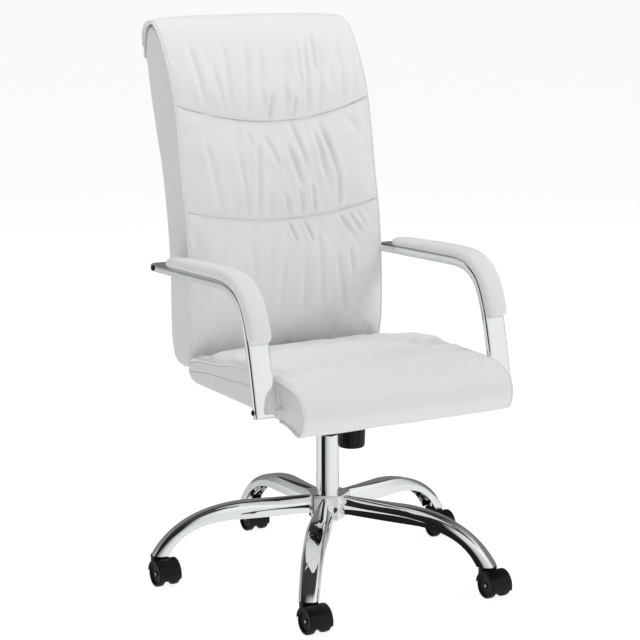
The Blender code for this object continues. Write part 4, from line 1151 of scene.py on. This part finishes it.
def back_relief(across, along):
    """Folds, the pinch of the two seams, and a slight unevenness."""
    side = across * BACK_HALF
    relief = np.zeros(len(across))
    for folds, upper, lower in zip(BACK_FOLDS, PANEL_BOUNDS, PANEL_BOUNDS[1:]):
        for u0, v0, u1, v1, strength, width in folds:
            start = ((2 * u0 - 1) * BACK_HALF, upper - v0 * (upper - lower))
            end = ((2 * u1 - 1) * BACK_HALF, upper - v1 * (upper - lower))
            relief += crease(side, along, start, end, strength * FOLD_STRENGTH, width / 1000)
    gap = seam_distance(along)
    relief *= 1 - np.exp(-(gap / 0.005) ** 2)
    wander = np.array([noise.noise(Vector((x * 22, s * 5, 7.7))) for x, s in zip(side, along)])
    relief += 0.0010 * wander
    relief -= 0.0036 * np.exp(-(gap / 0.0034) ** 2)
    room = np.clip((1 - np.abs(across)) * BACK_HALF / 0.018, 0, 1)
    front = np.clip((back_cover.length - 0.11 - along) / 0.05, 0, 1)
    return relief * room * front


push_out(back_pad, back_cover, back_relief)

crown_gap = np.interp(back_cover.run, THICK_RUN, (0.0, 0.0, 0.005, 0.004, 0.0))
back_inner = back_cover.inner_line(crown_gap - 0.001)[::2]
padded_box("back_side_bands",
           box_shape(back_inner, flowing(BACK_REAR, 0.008)[1], BACK_HALF - 0.0065, 0.007),
           "upper", ["back_cushion"])
pipe_edges("back", back_cover, 0.01, 0.97)
for number, run in enumerate(seam_runs, 1):
    across = np.linspace(-0.985, 0.985, 120)
    room = np.clip((1 - np.abs(across)) * BACK_HALF / 0.018, 0, 1)
    wire(f"back_seam_{number}", back_cover.at(across, np.full(120, run), -0.0030 * room), 0.0011,
         SEAM_THREAD_PAINTED_SHADE, "upper", rounds=2)

# The rear panel: a thin pad sewn over the board
REAR_LINE = ((0.286, 0.476), (0.291, 0.520), (0.289, 0.640), (0.299, 0.750), (0.321, 0.861),
             (0.357, 0.972), (0.384, 1.064), (0.391, 1.086))
REAR_HALF = 0.224
rear_cover = Cover(REAR_LINE[::-1], REAR_HALF, 0.011,
                   lambda along: np.full(np.shape(along), 0.006))
rear_panel = new_cover("rear_pad", rear_cover, 0.011, LEATHER, "upper", ["rear_panel"])


def rear_crown(across, along):
    """The rear panel is a little fuller in its middle."""
    share = along / rear_cover.length
    return 0.003 * np.sin(np.clip(share, 0, 1) * math.pi) ** 0.6 * (1 - np.abs(across) ** 4)


push_out(rear_panel, rear_cover, rear_crown)
refine(rear_panel)

# ---------------------------------------------------------------- arms
# Flat-sided chromed tubes bent over in one curve, screwed to the back and the seat.  A padded
# sleeve of white coated fabric is sewn over the bend, and the tube's ends have pale plugs.
ARM_X = 0.284
ARM_WIDTH, ARM_THICK, ARM_CORNER, ARM_WALL = 0.050, 0.019, 0.009, 0.0015
ARM_REAR, ARM_TOP = Vector((0.231, 0.6682)), Vector((-0.075, 0.6795))
ARM_FOOT = Vector((-0.2425, 0.4345))
ARM_BEND = (ARM_TOP, (-0.187, 0.6836), (-0.1995, 0.6345), ARM_FOOT)
PAD_WIDTH = 0.052
PAD_REAR, PAD_LOW = 0.194, 0.568    # where the sleeve ends behind and below
REAR_BOLT, FRONT_BOLT = (0.219, 0.6688), (-0.2385, 0.4465)


def arm_line():
    """The middle line of the tube from its rear end to its foot."""
    straight = [ARM_REAR.lerp(ARM_TOP, step / 12) for step in range(12)]
    return straight + [point_on_bend(ARM_BEND, step / 48) for step in range(49)]


def sideways(line):
    """The outward direction, over the bend, at each point of a line."""
    found = []
    for before, after in zip(line[:1] + line[:-1], line[1:] + line[-1:]):
        along = (after - before).normalized()
        found.append(Vector((along.y, -along.x)))
    return found


def arm_shape(centre):
    """The tube's outer face, with rounded corners, from end to end of its line."""
    line = arm_line()
    section = eased([(-ARM_WIDTH / 2, -ARM_THICK / 2), (ARM_WIDTH / 2, -ARM_THICK / 2),
                     (ARM_WIDTH / 2, ARM_THICK / 2), (-ARM_WIDTH / 2, ARM_THICK / 2)],
                    ARM_CORNER, 6, closed=True)
    rings = []
    for point, out in zip(line, sideways(line)):
        rings.append([Vector((centre + spot.x, point.x + out.x * spot.y + AXIS.y,
                              point.y + out.y * spot.y)) for spot in section])
    return skin(rings)


def quarter_round(share):
    """Rises from 0 to 1 like a quarter of a circle while share goes from 0 to 1."""
    return math.sqrt(1 - (1 - min(1.0, share)) ** 2)


def pad_shape(centre):
    """The sleeve: flat on the tube, crowned outside, with full rounded ends."""
    line = arm_line()
    covered = [(point, out) for point, out in zip(line, sideways(line))
               if point.x < PAD_REAR and point.y > PAD_LOW]
    run = [0.0]
    for (before, _), (after, _) in zip(covered, covered[1:]):
        run.append(run[-1] + (after - before).length)
    steps = [run[-1] * (0.5 - 0.5 * math.cos(math.pi * step / 64)) for step in range(65)]
    track = np.array([(*point, *out) for point, out in covered])
    rings = []
    for reach in steps:
        y, z, out_y, out_z = (float(np.interp(reach, run, column)) for column in track.T)
        rear_end = quarter_round(reach / 0.050)
        low_end = quarter_round((run[-1] - reach) / 0.018)
        blunt = min(quarter_round(reach / 0.012), quarter_round((run[-1] - reach) / 0.012))
        middle = math.sin(math.pi * min(1.0, reach / run[-1]))
        thick = max(0.0002, (0.0165 + 0.0040 * middle) * (0.8 + 0.2 * rear_end) * blunt)
        half = PAD_WIDTH / 2 * (0.08 + 0.92 * rear_end) * (0.45 + 0.55 * low_end)
        base = ARM_THICK / 2 + 0.0002
        shoulder = min(0.006, half * 0.4)
        outline = eased([(-half, base), (half, base), (half + 0.0008, base + thick * 0.55),
                         (half - shoulder, base + thick), (0, base + thick * 1.07),
                         (shoulder - half, base + thick), (-half - 0.0008, base + thick * 0.55)],
                        min(0.009, thick * 0.6), 4, closed=True)
        rings.append([Vector((centre + spot.x, y + out_y * spot.y + AXIS.y,
                              z + out_z * spot.y)) for spot in outline])
    return skin(rings, caps=True)


WHITE_PLASTIC = white_leather("pale_plastic", 0.72, 0.2)      # the same satin, coarser grain
# The screw's socket head, and its shank with the spacer, both down from the tube's outer side
SCREW_HEAD = eased([(0, 0.0010), (0.0024, 0.0010), (0.0028, 0.0024), (0.0046, 0.0024),
                    (0.0058, 0.0010), (0.0058, -0.0040), (0, -0.0040)], 0.0004, 3)
SPACER = eased([(0, -0.0045), (0.003, -0.0045), (0.003, -ARM_WIDTH), (0.0042, -ARM_WIDTH),
                (0.0042, -ARM_WIDTH - 0.015), (0, -ARM_WIDTH - 0.015)], 0.0004, 3)
for side, sign in SIDES:
    centre = sign * ARM_X
    tube = add_piece(f"arm_chrome_{side}", arm_shape(centre), CHROME, "upper",
                     [f"arm_tube_{side}"], 40)
    wall = tube.modifiers.new("Wall", "SOLIDIFY")
    wall.thickness = ARM_WALL
    wall.offset = -1
    pad = add_piece(f"arm_sleeve_{side}", pad_shape(centre), LEATHER, "upper",
                    [f"arm_pad_{side}"], 60)
    for name, (y, z) in (("rear", REAR_BOLT), ("front", FRONT_BOLT)):
        spot = (Matrix.Translation((centre + sign * ARM_WIDTH / 2, y + AXIS.y, z))
                @ Matrix.Rotation(math.radians(90 * sign), 4, "Y"))
        add_piece(f"arm_screw_{name}_{side}", turned(SCREW_HEAD, 40, spot), BLACK_STEEL,
                  "upper", [f"arm_bolt_{name}_{side}"])
        add_piece(f"arm_spacer_{name}_{side}", turned(SPACER, 32, spot), WHITE_PLASTIC,
                  "upper", [f"arm_bolt_{name}_{side}"])

# ---------------------------------------------------------------- frame pieces
# What stays of the frame shows little.  The boards are birch plywood, the bracket between them
# is painted, and the stems, axles and the parts inside the lift are zinc-plated steel.


def birch_plywood():
    """Pale veneer with its layers showing as lines through the board's thickness."""
    finish = Graph(bpy.data.materials.new("birch_plywood"))
    place = finish.node("ShaderNodeTexCoord", output="Object")
    grain = finish.node("ShaderNodeTexNoise", {}, {
        "Vector": finish.node("ShaderNodeMapping", {}, {"Vector": place,
                                                        "Scale": (8.0, 60.0, 700.0)}),
        "Scale": 2.0, "Detail": 5.0})
    finish.set(Base_Color=between(finish, grain, (0.42, 0.28, 0.16), (0.72, 0.56, 0.38)),
               Roughness=grain * 0.2 + 0.6)
    return finish.owner


PLYWOOD = birch_plywood()
FRAME_FINISHES = {"seat_board": PLYWOOD, "back_board": PLYWOOD, "back_bracket": BLACK_STEEL,
                  "arm_plug": WHITE_PLASTIC, "lever_bush": NYLON, "caster_stem": STEEL,
                  "caster_axle": STEEL}
for node_name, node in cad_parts.items():
    finish = next((value for start, value in FRAME_FINISHES.items()
                   if node_name.startswith(start)), STEEL)
    node.data.materials.clear()
    node.data.materials.append(finish)
